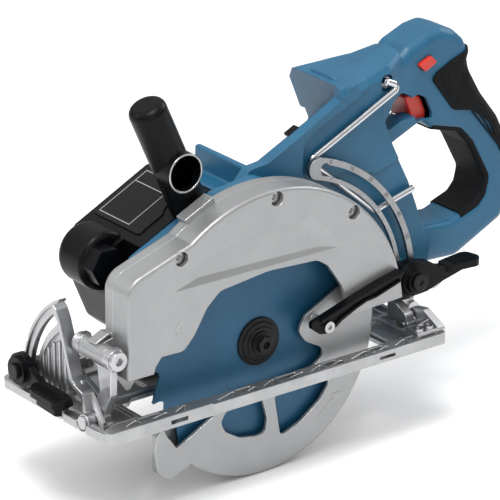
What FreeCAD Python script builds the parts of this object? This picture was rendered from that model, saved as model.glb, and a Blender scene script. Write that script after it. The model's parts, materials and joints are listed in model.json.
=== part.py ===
import FreeCAD, Part
import os, math

# Cordless rear-handle circular saw, blade on the left, bare tool.
# +X forward (cutting direction), +Y to the saw's left (blade side), +Z up.
# Origin: middle of the sole, directly below the spindle.  Millimetres.

V = FreeCAD.Vector
os.makedirs("parts", exist_ok=True)

# ---------------------------------------------------------------- driving dimensions
BASE_L, BASE_W = 292.0, 132.0        # shoe length and width
PLATE_T = 3.2                        # shoe plate
SLOT_X, SLOT_Y0, SLOT_Y1 = 105.0, 14.0, 54.0
RAIL_H_F, RAIL_H_R = 9.0, 8.0        # rail height in front and behind
BLADE_R = 92.0                       # 184 mm blade
BLADE_T, KERF = 1.7, 2.3
BLADE_Y = 36.0                       # blade mid plane
SP_Z = 29.5                          # spindle height: 62.5 mm depth of cut
ARBOR_R = 7.94
TEETH = 24
BEV_Y, BEV_Z = 33.0, 6.0             # bevel axis, along X
BEV_MAX = 45.0
FX, FZ = 130.0, 54.0                 # depth pivot, along Y
DEPTH_MAX = 24.5
GX, GZ = -150.0, 12.0                # foot pivot of the depth bracket
BX, BZ = -149.0, 34.0                # depth clamp bolt on the body
SLOT_CX, SLOT_CZ, SLOT_R = -42.1, 28.4, 107.5   # bracket slot arc
GUARD_R = 115.5                      # upper guard outside
GUARD_Y0, GUARD_YM, GUARD_Y1 = 25.0, 36.0, 54.0
GUARD_LOW = 37.0
CAV_R = 104.0
LOW_R = 97.0                         # lower guard outside
LOW_Y0, LOW_Y1 = 29.5, 43.2
MODULE = 1.3                         # both gear stages
CD1 = MODULE * (24 + 12) / 2         # spindle to idler
CD2 = MODULE * (26 + 13) / 2         # idler to motor
BODY_Y0, BODY_Y1 = -58.0, 10.0
HAND_Y0, HAND_Y1 = -40.0, -4.0
SPLIT_Y = -22.0
TILT = math.radians(25.0)
DX, DZ = -math.cos(TILT), math.sin(TILT)      # along the tilted body, to the rear and up
NX, NZ = math.sin(TILT), math.cos(TILT)       # square to it, up
IDX, IDZ = CD1 * math.cos(math.radians(45)), SP_Z + CD1 * math.sin(math.radians(45))
MX, MZ = IDX + CD2 * math.cos(math.radians(45)), IDZ + CD2 * math.sin(math.radians(45))


# ---------------------------------------------------------------- helpers
def put(plane, k, a, b):
    if plane == "xz":
        return V(a, k, b)
    if plane == "yz":
        return V(k, a, b)
    return V(a, b, k)


def outline(pts, plane, k, r=0.0):
    """Closed wire through pts with rounded corners; a point may carry its own radius."""
    n = len(pts)
    P = [FreeCAD.Vector(p[0], p[1], 0) for p in pts]
    rad = [(p[2] if len(p) > 2 else r) for p in pts]
    ends = []
    for i in range(n):
        a, b, c = P[i - 1], P[i], P[(i + 1) % n]
        u, w = a.sub(b), c.sub(b)
        lu, lw = u.Length, w.Length
        u = V(u).multiply(1 / lu)
        w = V(w).multiply(1 / lw)
        ang = u.getAngle(w)
        if rad[i] <= 1e-6 or ang > math.pi - 0.02:
            ends.append((b, None, b))
            continue
        t = min(rad[i] / math.tan(ang / 2), 0.48 * lu, 0.48 * lw)
        rr = t * math.tan(ang / 2)
        bis = u.add(w).normalize()
        m = b.add(V(bis).multiply(rr / math.sin(ang / 2) - rr))
        ends.append((b.add(V(u).multiply(t)), m, b.add(V(w).multiply(t))))
    edges = []
    for i in range(n):
        s, m, e = ends[i]
        if m is not None:
            q = [put(plane, k, p.x, p.y) for p in (s, m, e)]
            edges.append(Part.Arc(*q).toShape())
        nx = ends[(i + 1) % n][0]
        if e.sub(nx).Length > 1e-6:
            edges.append(Part.makeLine(put(plane, k, e.x, e.y), put(plane, k, nx.x, nx.y)))
    return Part.Wire(edges)


def prism(pts, plane, lo, hi, r=0.0):
    w = outline(pts, plane, lo, r)
    d = {"xz": V(0, hi - lo, 0), "yz": V(hi - lo, 0, 0), "xy": V(0, 0, hi - lo)}[plane]
    return Part.Face(w).extrude(d)


def box(x0, x1, y0, y1, z0, z1):
    return Part.makeBox(x1 - x0, y1 - y0, z1 - z0, V(x0, y0, z0))


def cyl(x, y, z, r, h, d):
    return Part.makeCylinder(r, h, V(x, y, z), V(*d))


def ycyl(x, z, r, y0, y1):
    return Part.makeCylinder(r, y1 - y0, V(x, y0, z), V(0, 1, 0))


def xcyl(y, z, r, x0, x1):
    return Part.makeCylinder(r, x1 - x0, V(x0, y, z), V(1, 0, 0))


def fuse(*s):
    o = s[0]
    if len(s) > 1:
        o = o.fuse(list(s[1:]))
    return o.removeSplitter()


def cut(a, *s):
    return a.cut(list(s)) if s else a


def soften(shape, r, pick):
    es = [e for e in shape.Edges if pick(e)]
    for rr in (r, r * 0.7, r * 0.45, r * 0.25):
        try:
            f = shape.makeFillet(rr, es)
            if f.isValid() and f.Volume > 0.5 * shape.Volume:
                return f
        except Exception:
            pass
    print("  soften failed", len(es))
    return shape


def soften_each(shape, r, pick):
    """Round the picked edges one by one, keeping each that works."""
    keys = [(e.CenterOfMass, e.Length) for e in shape.Edges if pick(e)]
    for c, l in keys:
        for e in shape.Edges:
            if abs(e.Length - l) < 1e-3 and e.CenterOfMass.sub(c).Length < 1e-3:
                try:
                    f = shape.makeFillet(r, [e])
                    if f.isValid() and f.Volume > 0.5 * shape.Volume:
                        shape = f
                except Exception:
                    pass
                break
    return shape


def hexagon(cx, cz, r, y0, y1, ph=0.0):
    pts = [(cx + r * math.cos(ph + i * math.pi / 3), cz + r * math.sin(ph + i * math.pi / 3)) for i in range(6)]
    return prism(pts, "xz", y0, y1)


def gear(cx, cz, z, m, y0, y1, ph, bore):
    """Spur gear with straight-flanked teeth and plenty of backlash; a tooth points along angle ph."""
    rp, ra, rf = z * m / 2, z * m / 2 + 0.85 * m, z * m / 2 - 1.2 * m
    pitch = 2 * math.pi / z
    pts = []
    for i in range(z):
        c = ph + i * pitch
        for rr, w in ((rf, -0.33), (rp, -0.215), (ra, -0.10), (ra, 0.10), (rp, 0.215), (rf, 0.33)):
            a = c + w * pitch
            pts.append((cx + rr * math.cos(a), cz + rr * math.sin(a)))
    g = prism(pts, "xz", y0, y1)
    return g.cut(ycyl(cx, cz, bore, y0 - 1, y1 + 1))


def screw_y(x, z, y_head, r, L, head_r, head_h, direction=-1, socket=0.5):
    """Socket-head screw along Y; its head's outer face is at y_head."""
    if direction < 0:
        h = ycyl(x, z, head_r, y_head - head_h, y_head)
        s = ycyl(x, z, r, y_head - head_h - L, y_head - head_h)
        k = hexagon(x, z, head_r * socket, y_head - head_h * 0.6, y_head + 1)
    else:
        h = ycyl(x, z, head_r, y_head, y_head + head_h)
        s = ycyl(x, z, r, y_head + head_h, y_head + head_h + L)
        k = hexagon(x, z, head_r * socket, y_head - 1, y_head + head_h * 0.6)
    return fuse(h, s).cut(k)


def offset_prism(pts, plane, lo, hi, r, off):
    f = Part.Face(outline(pts, plane, lo, r))
    w = f.makeOffset2D(off)
    d = {"xz": V(0, hi - lo, 0), "yz": V(hi - lo, 0, 0), "xy": V(0, 0, hi - lo)}[plane]
    return w.extrude(d)


NODES = {}


def keep(name, shape, expect=1):
    s = shape.removeSplitter() if shape.ShapeType != "Compound" else shape
    sol = [x for x in s.Solids if x.Volume > 0.5]
    if len(sol) != expect:
        print("NOTE", name, "has", len(sol), "solids", [round(x.Volume) for x in sol])
    for x in sol:
        if not x.isValid():
            print("INVALID", name)
    out = sol[0] if len(sol) == 1 else Part.makeCompound(sol)
    NODES[name] = out
    out.exportStep("parts/%s.step" % name)


# ================================================================ base
hx, hy = BASE_L / 2, BASE_W / 2
plate = prism([(-hx, -hy, 10), (hx, -hy, 10), (hx, hy, 16), (-hx, hy, 8)], "xy", 0, PLATE_T)
# blade opening with a stepped inner edge near its front
slot = prism([(-SLOT_X, SLOT_Y0, 3), (SLOT_X - 14, SLOT_Y0, 2), (SLOT_X - 8, SLOT_Y0 + 5, 2), (SLOT_X, SLOT_Y0 + 5, 3),
              (SLOT_X, SLOT_Y1, 3), (-SLOT_X, SLOT_Y1, 3)], "xy", -1, 20)
rail = fuse(prism([(60, SLOT_Y1, 0), (hx - 8, SLOT_Y1, 3), (hx, SLOT_Y1 + 6, 5), (hx, hy, 9), (60, hy, 0)], "xy", 0, RAIL_H_F),
            prism([(-hx, SLOT_Y1, 3), (60.5, SLOT_Y1, 0), (60.5, hy, 0), (-hx, hy, 4)], "xy", 0, RAIL_H_R))
ribs = []
for y in (-63.8, -36, -9, 11.0):
    ribs.append(box(-hx + 6, hx - 6, y - 1.3, y + 1.3, 1, 6.2 if y > 0 or y < -60 else 5.2))
for x in (-136, -104, -72, -38, 0, 38, 72, 104, 136):
    ribs.append(box(x - 1.3, x + 1.3, -hy + 1, 12, 1, 5.2))
for x in (-126, -108.5, 108.5, 141):
    ribs.append(box(x - 1.5, x + 1.5, 10, SLOT_Y1 + 1, 1, 6.2))
ribs.append(box(108, 143, 20.0, 22.6, 1, 5.2))
ribs.append(box(108, 143, 44.0, 46.6, 1, 5.2))
# raised lip round the wide side
lip = cut(prism([(-hx, -hy, 10), (hx, -hy, 10), (hx, hy, 16), (-hx, hy, 8)], "xy", 0, 6.0),
          prism([(-hx + 3.2, -hy + 3.2, 7), (hx - 3.2, -hy + 3.2, 7), (hx - 3.2, hy - 4, 12), (-hx + 3.2, hy - 4, 6)], "xy", -1, 8))
base = fuse(plate, rail, lip, *ribs)
base = base.cut(slot)
# webbed pockets along the top of the rail, leaving diagonal ribs
pockets = []
x = -138.0
i = 0
while x < 128:
    L = 15.0 if i % 3 else 22.0
    zt = (RAIL_H_F if x > 58 else RAIL_H_R)
    if not (58 - L < x < 63):
        if i % 2 == 0:
            p = [(x, SLOT_Y1 + 2), (x + L, SLOT_Y1 + 2), (x + L, hy - 3.4)]
        else:
            p = [(x, SLOT_Y1 + 2.4), (x + L, hy - 3), (x, hy - 3)]
        pockets.append(prism(p, "xy", zt - 3.6, zt + 1, 0.8))
        if i % 2 == 0:
            q = [(x, SLOT_Y1 + 4.4), (x + L - 3.0, hy - 3), (x, hy - 3)]
            pockets.append(prism(q, "xy", zt - 3.6, zt + 1, 0.8))
    x += L + 2.0
    i += 1
base = base.cut(pockets)
# edge-guide slots across the shoe in front and behind, and their clamp bosses
boss = []
for xg in (88.0, -92.0):
    boss.append(fuse(box(xg - 11, xg + 11, -hy + 0.5, -hy + 16, 0.5, 7.4), cyl(xg, -54, 6, 6.0, 4.0, (0, 0, 1))))
base = fuse(base, *boss)
tun = []
for xg in (88.0, -92.0):
    tun.append(box(xg - 7.2, xg + 7.2, hy - 14, hy + 1, 2.6, 5.8) if xg > 0 else box(xg - 7.2, xg + 7.2, hy - 14, hy + 1, 2.4, 5.0))
    tun.append(box(xg - 7.2, xg + 7.2, -hy - 1, -hy + 20, 2.4, 5.4))
    tun.append(cyl(xg, -54, 4.5, 2.5, 8, (0, 0, 1)))
base = base.cut(tun)
# line-of-cut notches in the front edge
base = base.cut([prism([(hx + 1, 33.5), (hx - 5, 36), (hx + 1, 38.5)], "xy", -1, 12),
                 prism([(hx + 1, 8), (hx - 5, 10), (hx + 1, 12)], "xy", -1, 12)])
# seats for the quadrant and the rear bracket, with screw holes
SEAT_Z = 6.4
QX_A = 131.2
base = fuse(base, box(QX_A, 142, -46, 27, 0.5, SEAT_Z), box(-144, -122, 42, 62, 0.5, SEAT_Z + 2.2))
QS = [(138.2, -30), (138.2, 2)]
RS = [(-135.0, 58.0), (-125.8, 58.0)]
base = base.cut([cyl(a, b, 1.2, 2.0, 12, (0, 0, 1)) for a, b in QS] + [cyl(a, b, 1.2, 2.0, 12, (0, 0, 1)) for a, b in RS])
keep("base_plate", base)

# ---- bevel quadrant, standing across the front of the shoe
QX0, QX1 = 131.2, 135.0
QR, SL_R, SL_W = 84.0, 73.0, 3.7
ARC_A0, ARC_A1 = 122.6, 171.0      # slot ends, degrees from +Y towards +Z
sector = prism([(-7, 100), (-72, 100), (-72, SEAT_Z), (27, SEAT_Z), (24, 22), (14.5, 28), (11.6, 38), (6.0, 54), (0.8, 68), (-6, 77)], "yz", QX0 - 5, QX1 + 20)


def wedge_yz(cy, cz, a0, a1, R, x0, x1):
    n = max(2, int(abs(a1 - a0) / 30) + 2)
    pts = [(cy, cz)] + [(cy + R * 1.2 * math.cos(math.radians(a0 + (a1 - a0) * i / n)), cz + R * 1.2 * math.sin(math.radians(a0 + (a1 - a0) * i / n))) for i in range(n + 1)]
    return prism(pts, "yz", x0, x1)


def ring_x(r1, r0, x0, x1):
    return xcyl(BEV_Y, BEV_Z, r1, x0, x1).cut(xcyl(BEV_Y, BEV_Z, r0, x0 - 1, x1 + 1))


q = xcyl(BEV_Y, BEV_Z, QR, QX0, QX1).common(sector)
slotcut = ring_x(SL_R + SL_W, SL_R - SL_W, QX0 - 2, QX1 + 12).common(wedge_yz(BEV_Y, BEV_Z, ARC_A0, ARC_A1, 120, QX0 - 4, QX1 + 14))
ends = [xcyl(BEV_Y + SL_R * math.cos(math.radians(a)), BEV_Z + SL_R * math.sin(math.radians(a)), SL_W, QX0 - 2, QX1 + 12) for a in (ARC_A0, ARC_A1)]
rimring = ring_x(QR, QR - 2.2, QX0 - 1.5, QX1 + 1.4).common(sector)
inner_rim = ring_x(65.6, 63.4, QX0, QX1 + 2.4).common(sector)
flange = prism([(-7.6, 74.6, 2), (-6.4, 78.6, 2), (-2.0, 75.5, 4), (1.6, 69, 6), (6.8, 55, 30), (12.2, 39, 14), (15.4, 30.5, 6), (19.5, 26.8, 5), (27.5, 24.6, 4), (30.5, 14, 6),
                (33.0, SEAT_Z, 0), (28.5, SEAT_Z, 0), (26.6, 20.4, 3), (19.5, 22.6, 5), (12.6, 28.0, 6), (9.6, 38, 14), (4.2, 54, 30), (-1.0, 67.5, 6)], "yz", QX0, 141.0)
rib2 = []
for y, z1 in ((-24, 34), (-17.5, 42), (-11, 47.5), (-4.5, 50.5), (2.0, 48)):
    rib2.append(box(QX0, QX1 + 2.4, y - 0.9, y + 0.9, SEAT_Z, z1))
foot = box(QX0, 141.2, -46, 30, SEAT_Z, SEAT_Z + 3.4)
q = fuse(q, rimring, flange, inner_rim, foot, *rib2)
q = q.cut([slotcut] + ends)
q = q.cut([cyl(a, b, 4, 2.2, 12, (0, 0, 1)) for a, b in QS] + [cyl(a, b, SEAT_Z + 3.4, 3.3, 60, (0, 0, 1)).common(box(QX1 + 0.02, 150, -60, 30, 0, 14)) for a, b in QS])
q = q.cut([xcyl(19.0, 16.8, 2.2, QX0 - 3, QX1 + 8), xcyl(-44.5, 38.5, 1.6, QX0 - 3, QX1 + 8)])
# knuckle of the front bevel pivot, part of the quadrant casting
kn = fuse(xcyl(BEV_Y, BEV_Z, 5.8, 137.6, 144.0), box(QX0, 141.2, 15, BEV_Y + 4, SEAT_Z, SEAT_Z + 3.4),
          prism([(16, SEAT_Z, 0), (BEV_Y + 4, SEAT_Z, 0), (BEV_Y + 3, 12, 2), (24, 15, 4), (18, 30, 0)], "yz", QX0, QX1))
q = fuse(q, kn).cut(xcyl(BEV_Y, BEV_Z, 2.52, 120, 150))
q = q.cut([xcyl(BEV_Y, BEV_Z, 6.4, 120.0, 137.5).common(box(120, 137.5, 0, 60, -5, SEAT_Z))])
keep("bevel_quadrant", q)

# ---- rear bracket: gusset and knuckle
RB_Z = SEAT_Z + 2.2
rb = prism([(63, RB_Z, 2), (63, RB_Z + 3, 2), (45, 20, 3), (BEV_Y, 18, 4), (BEV_Y - 6, 12, 3), (BEV_Y - 6, 6.6, 1), (41.6, 6.6, 0), (41.6, RB_Z, 0)], "yz", -146, -140.4)
rb = fuse(rb, xcyl(BEV_Y, BEV_Z, 5.8, -146, -140.0), box(-144, -122, 48, 62.5, RB_Z, RB_Z + 3.0),
          prism([(-141.5, RB_Z + 2), (-141.5, 15), (-126, RB_Z + 2)], "xz", 49.0, 51.4))
rb = rb.cut([xcyl(BEV_Y, BEV_Z, 2.52, -150, -135)] + [cyl(a, b, 4, 2.2, 12, (0, 0, 1)) for a, b in RS])
keep("rear_hinge_bracket", rb)
# clear the shoe round the two pivots
base = base.cut([xcyl(BEV_Y, BEV_Z, 5.86, -147, -139.9), xcyl(BEV_Y, BEV_Z, 7.4, -139.9, -131.2),
                 xcyl(BEV_Y, BEV_Z, 5.86, 137.4, 147), xcyl(BEV_Y, BEV_Z, 8.4, 124.4, 131.1), xcyl(BEV_Y, BEV_Z, 5.86, 143.9, 147)])
keep("base_plate", base)


def vscrew(x, y, z, r, L, hr, hh):
    return fuse(cyl(x, y, z, hr, hh, (0, 0, 1)), cyl(x, y, z - L, r, L, (0, 0, 1))).cut(cyl(x, y, z + hh * 0.5, hr * 0.45, hh, (0, 0, 1)))


sc = [vscrew(a, b, SEAT_Z + 3.4, 1.95, 7.6, 3.1, 2.4) for a, b in QS] + [vscrew(a, b, SEAT_Z + 5.2, 1.95, 9.0, 3.6, 2.4) for a, b in RS]
keep("base_screws", Part.makeCompound(sc), 4)

# ---- bevel pins, pressed in the fixed knuckles
p1 = fuse(xcyl(BEV_Y, BEV_Z, 2.5, 125.0, 144.0), xcyl(BEV_Y, BEV_Z, 4.6, 144.0, 145.8))
p2 = fuse(xcyl(BEV_Y, BEV_Z, 2.5, -146.0, -131.0), xcyl(BEV_Y, BEV_Z, 4.6, -147.6, -146.0))
keep("bevel_pivot_pins", Part.makeCompound([p1, p2]), 2)

# ---- cut-line pointer, a bright folded strip at the front right of the blade line
ptr = fuse(prism([(33.5, 27.5, 0.6), (36.7, 28.6, 0.6), (50.0, 10.4, 0.6), (50.0, 6.2, 0), (46.2, 6.2, 0)], "yz", 137.8, 140.0),
           box(134.5, 140.0, 45.6, 50.2, 6.2, 7.6))
keep("cut_line_pointer", ptr)

# ================================================================ tilt frame
post = prism([(28.5, 9, 2), (38.0, 9, 2), (41, 17, 3), (45.5, 25, 4), (46.5, FZ - 9, 3), (52.0, FZ - 8, 1), (52.0, FZ + 7, 1), (45.2, FZ + 7, 1), (45.2, FZ - 4.5, 4),
              (16.8, FZ - 4.5, 4), (16.8, FZ + 7, 1), (10, FZ + 7, 1), (10, FZ - 8, 2), (30.5, FZ - 10, 4), (33.5, 26, 5), (28.0, 17.5, 3)], "yz", 125.2, 130.6)
fl = fuse(post, xcyl(BEV_Y, BEV_Z, 5.8, 125.2, 130.6))
fl = fuse(fl, ycyl(FX, FZ, 7.4, 45.2, 52.0), ycyl(FX, FZ, 7.0, 10.0, 16.8))
# arm behind the quadrant that carries the bevel clamp bolt
AA = math.radians(168.5)
ABY, ABZ = BEV_Y + SL_R * math.cos(AA), BEV_Z + SL_R * math.sin(AA)
arm = prism([(BEV_Y, 10.5, 2), (BEV_Y + 3, 18, 2), (8, 30, 4), (ABY + 2, ABZ + 7, 5), (ABY - 6.4, ABZ + 3, 5), (ABY - 5.4, ABZ - 6, 5), (ABY + 6, ABZ - 6.5, 3), (10, 17.0, 3)], "yz", 125.2, 129.4)
fl = fuse(fl, arm, xcyl(ABY, ABZ, 6.2, 125.2, 130.2))
fl = fl.cut([xcyl(BEV_Y, BEV_Z, 2.55, 120, 137), ycyl(FX, FZ, 4.0, 5, 60), xcyl(ABY, ABZ, 3.0, 118, 140)])
# leave room for the body's lug between the ears
fl = fl.cut(box(118, 146, 17.0, 45.0, FZ - 9.2, FZ + 12).common(ycyl(FX, FZ, 9.2, 17.0, 45.0)))
keep("front_tilt_link", fl)

rl = fuse(xcyl(BEV_Y, BEV_Z, 5.8, -139.2, -132.0),
          prism([(BEV_Y + 5.2, 7.2, 1), (BEV_Y + 3.2, 15, 3), (BEV_Y - 8, 20, 3), (16.0, 20, 2), (16.0, 7.2, 2)], "yz", -139.2, -132.0))
rl = fuse(rl, prism([(-132.0, 7.2, 2), (-132, 20, 2), (-150, GZ + 6.6, 5), (-156.6, GZ, 6), (-150, GZ - 5.4, 4)], "xz", 16.0, 21.5))
rl = rl.cut([xcyl(BEV_Y, BEV_Z, 2.55, -150, -125), ycyl(GX, GZ, 3.0, 5, 30)])
keep("rear_tilt_link", rl)
keep("bracket_pin", fuse(ycyl(GX, GZ, 2.98, 10.6, 21.5), ycyl(GX, GZ, 4.6, 21.5, 23.6), ycyl(GX, GZ, 4.2, 9.6, 10.6)))
pin = fuse(ycyl(FX, FZ, 3.96, 9.1, 52.0), ycyl(FX, FZ, 6.6, 52.0, 55.4)).cut(hexagon(FX, FZ, 3.2, 53.0, 57))
keep("depth_pivot_pin", fuse(pin, ycyl(FX, FZ, 4.9, 9.1, 10.0)))
cb = fuse(xcyl(ABY, ABZ, 2.95, 122.2, 150.0), Part.makeCylinder(5.0, 3.0, V(122.2, ABY, ABZ), V(1, 0, 0)), xcyl(ABY, ABZ, 5.4, 150.0, 152.8))
cb = fuse(cb, xcyl(ABY, ABZ, 4.6, 136.5, 137.9))
keep("bevel_clamp_bolt", cb)

# ---- bevel clamp lever
hub = fuse(xcyl(ABY, ABZ, 12.0, 141.7, 147.0), xcyl(ABY, ABZ, 4.6, 138.0, 141.8), xcyl(ABY, ABZ, 9.8, 147.0, 150.0))
arm_l = prism([(ABY + 2, ABZ + 11.5, 4), (ABY + 14, ABZ + 3, 5), (-14, ABZ - 1.5, 5), (10, ABZ - 1.6, 5), (17, ABZ - 3, 5), (18.5, ABZ - 9.2, 3), (-6, ABZ - 9.4, 5), (ABY + 9, ABZ - 8, 6), (ABY, ABZ - 11, 4)], "yz", 141.8, 147.0)
hub = fuse(hub, arm_l)
padx = prism([(142.0, -18, 3), (142.0, 18, 4), (150, 21.5, 7), (158.0, 18, 5), (157.0, -12, 6), (149, -19.5, 5)], "xy", ABZ - 7.6, ABZ - 2.6)
skirt = prism([(150.5, -9, 2), (154.2, -9, 2), (156.2, 17.0, 3), (151.0, 20, 2)], "xy", ABZ - 12.8, ABZ - 5)
bgrip = [box(146.0, 154.5, -10.0 + i * 2.9, -8.9 + i * 2.9, ABZ - 2.8, ABZ - 2.1) for i in range(9)]
bl = fuse(hub, padx, skirt, *bgrip)
bl = bl.cut([xcyl(ABY, ABZ, 3.0, 130, 160), xcyl(ABY, ABZ, 5.5, 149.6, 160)])
keep("bevel_lever", bl)

# ================================================================ depth bracket
BK0, BK1 = 11.2, 14.4
a0 = math.degrees(math.atan2(BZ - SLOT_CZ, BX - SLOT_CX))          # at the bolt
a1 = math.degrees(math.atan2(130.9 - SLOT_CZ, -76.4 - SLOT_CX))    # far end


def wedge_xz(cx, cz, d0, d1, R, y0, y1):
    n = 6
    pts = [(cx, cz)] + [(cx + R * math.cos(math.radians(d0 + (d1 - d0) * i / n)), cz + R * math.sin(math.radians(d0 + (d1 - d0) * i / n))) for i in range(n + 1)]
    return prism(pts, "xz", y0, y1)


ring = ycyl(SLOT_CX, SLOT_CZ, SLOT_R + 8.6, BK0, BK1).cut(ycyl(SLOT_CX, SLOT_CZ, SLOT_R - 7.4, BK0 - 1, BK1 + 1))
band = ring.common(wedge_xz(SLOT_CX, SLOT_CZ, a1 - 3.5, a0 + 3.0, 200, BK0 - 1, BK1 + 1))
ex, ez = SLOT_CX + (SLOT_R + 0.6) * math.cos(math.radians(a1 - 3.5)), SLOT_CZ + (SLOT_R + 0.6) * math.sin(math.radians(a1 - 3.5))
bx2, bz2 = SLOT_CX + SLOT_R * math.cos(math.radians(a0 + 3)), SLOT_CZ + SLOT_R * math.sin(math.radians(a0 + 3))
bar = prism([(bx2 - 7.8, bz2 + 8, 1), (bx2 + 7.8, bz2 + 8, 1), (GX + 7.4, GZ + 4, 3), (GX + 5.5, GZ - 5.0, 4), (GX - 5.5, GZ - 5.0, 4), (GX - 7.8, GZ + 4, 3)], "xz", BK0, BK1)
bracket = fuse(band, ycyl(ex, ez, 8.0, BK0, BK1), bar)
sring = ycyl(SLOT_CX, SLOT_CZ, SLOT_R + 4.1, BK0 - 1, BK1 + 1).cut(ycyl(SLOT_CX, SLOT_CZ, SLOT_R - 4.1, BK0 - 2, BK1 + 2))
sring = sring.common(wedge_xz(SLOT_CX, SLOT_CZ, a1 + 0.0, a0 + 0.3, 200, BK0 - 2, BK1 + 2))
sx, sz = SLOT_CX + SLOT_R * math.cos(math.radians(a1)), SLOT_CZ + SLOT_R * math.sin(math.radians(a1))
s2x, s2z = SLOT_CX + SLOT_R * math.cos(math.radians(a0 + 0.3)), SLOT_CZ + SLOT_R * math.sin(math.radians(a0 + 0.3))
bracket = bracket.cut([sring, ycyl(sx, sz, 4.1, 0, 30), ycyl(s2x, s2z, 4.1, 0, 30), ycyl(-75.93, 131.55, 4.1, 0, 30), ycyl(GX, GZ, 3.04, 0, 30)])
# graduation grooves on the outer edge of the face, one every 5 mm of depth
marks = []
for i in range(23):
    a = math.radians(a0 + 1 - i * (a0 - a1) / 23.0)
    r0 = SLOT_R - (6.2 if i % 2 else 6.9)
    r1 = SLOT_R - 4.5
    c, s = math.cos(a), math.sin(a)
    w = 0.28
    pts = [(SLOT_CX + r0 * c - w * s, SLOT_CZ + r0 * s + w * c), (SLOT_CX + r1 * c - w * s, SLOT_CZ + r1 * s + w * c),
           (SLOT_CX + r1 * c + w * s, SLOT_CZ + r1 * s - w * c), (SLOT_CX + r0 * c + w * s, SLOT_CZ + r0 * s - w * c)]
    marks.append(prism(pts, "xz", BK1 - 0.35, BK1 + 1))
bracket = bracket.cut(marks)
keep("depth_bracket", bracket)

# ================================================================ saw body
# ---- upper guard: inner housing and outer cover
JX, JZ = 68.0, SP_Z + math.sqrt(GUARD_R ** 2 - 68.0 ** 2)
RX = -math.sqrt(GUARD_R ** 2 - (GUARD_LOW + 2 - SP_Z) ** 2)


def guard_wire(y):
    # front wall, rounded top front corner, sloping top, round over the blade, lower edge
    c = V(121, y, 105.6)
    d1 = V(0, 0, -1)
    d2 = V(JX - 121, 0, JZ - 105.6).normalize()
    ang = d1.getAngle(d2)
    r = 15.0
    t = r / math.tan(ang / 2)
    s = c.add(V(d1).multiply(t))
    e = c.add(V(d2).multiply(t))
    bis = d1.add(d2).normalize()
    m = c.add(V(bis).multiply(r / math.sin(ang / 2) - r))
    am = math.radians(115)
    ed = [Part.makeLine(V(121, y, GUARD_LOW), s), Part.Arc(s, m, e).toShape(), Part.makeLine(e, V(JX, y, JZ)),
          Part.Arc(V(JX, y, JZ), V(GUARD_R * math.cos(am), y, SP_Z + GUARD_R * math.sin(am)), V(RX, y, GUARD_LOW + 2)).toShape(),
          Part.makeLine(V(RX, y, GUARD_LOW + 2), V(-60, y, GUARD_LOW)), Part.makeLine(V(-60, y, GUARD_LOW), V(121, y, GUARD_LOW))]
    return Part.Wire(ed)


gh = Part.Face(guard_wire(GUARD_Y0)).extrude(V(0, GUARD_YM - GUARD_Y0, 0))
gh = soften(gh, 3.5, lambda e: abs(e.BoundBox.YMax - GUARD_Y0) < 1e-3 and e.BoundBox.ZMax > GUARD_LOW + 2.5)
gc = Part.Face(guard_wire(GUARD_YM)).extrude(V(0, GUARD_Y1 - GUARD_YM, 0))
gc = soften(gc, 9.2, lambda e: abs(e.BoundBox.YMin - GUARD_Y1) < 1e-3 and e.BoundBox.ZMax > GUARD_LOW + 2.5)
front_pocket = [(40, GUARD_LOW - 3, 0), (116.5, GUARD_LOW - 3, 0), (116.5, 84, 8), (100, 97, 8), (64, 108, 8)]
gh = gh.cut([ycyl(0, SP_Z, CAV_R, GUARD_Y0 + 3, GUARD_YM + 1), prism(front_pocket, "xz", GUARD_Y0 + 3, GUARD_YM + 1), ycyl(0, SP_Z, 24.0, 20, 30)])
gc = gc.cut([ycyl(0, SP_Z, CAV_R, GUARD_YM - 1, GUARD_Y1 - 4), prism(front_pocket, "xz", GUARD_YM - 1, GUARD_Y1 - 4)])
window = prism([(103, 30, 0), (99, 42, 3), (94, 48.0, 3), (75.5, 47.4, 7), (66.5, 57, 10), (56, 74, 14), (45, 83.5, 10), (4, 88.0, 60), (-38, 85.5, 10), (-48, 79, 10), (-60, 61, 8), (-65, 48.5, 8), (-72, 30, 0)], "xz", 46, 60)
gc = gc.cut(window)
# sculpted panel recess on the face
REC_O = [(84, 92), (70, 106.0), (34.8, 115.4), (-10.9, 121.4), (-31.9, 121.4), (-52, 101.0), (-58, 90.8)]
REC_I = [(62, 97), (56, 102.6), (30, 109.4), (-12, 114.9), (-25, 114.6), (-38, 99.5), (-41, 94.4)]
REC_D = 2.0


def facet_wire(pts, y):
    q = [V(a, y, b) for a, b in pts]
    return Part.makePolygon(q + [q[0]])


k = 0.3 / REC_D
rec_out = [(a[0] + k * (a[0] - b[0]), a[1] + k * (a[1] - b[1])) for a, b in zip(REC_O, REC_I)]
rec = Part.makeLoft([facet_wire(rec_out, GUARD_Y1 + 0.3), facet_wire(REC_I, GUARD_Y1 - REC_D)], True, True)
gc = gc.cut(rec)
# arrow on the front of the face
arrow = fuse(prism([(81.6, 56.6), (79.8, 56.2), (78.0, 63.6), (79.8, 64.0)], "xz", GUARD_Y1 - 0.2, GUARD_Y1 + 0.7),
             prism([(82.4, 63.6), (75.6, 62.0), (77.4, 69.4)], "xz", GUARD_Y1 - 0.2, GUARD_Y1 + 0.7))
# screw pockets round the rim
GS = [(76.5, 114.0), (-3.6, 138.6), (-70.4, 112.9)]
for gx, gz in GS:
    gc = gc.cut([ycyl(gx, gz, 5.3, 46.0, 60), ycyl(gx, gz, 2.6, 30, 60)])
    a = math.atan2(gz - SP_Z, gx)
    gh = fuse(gh, ycyl(gx * 0.985, SP_Z + (gz - SP_Z) * 0.985, 5.5, GUARD_Y0 + 1, GUARD_YM)).cut(ycyl(gx, gz, 2.0, GUARD_Y0 + 2, GUARD_YM + 1))
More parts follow.
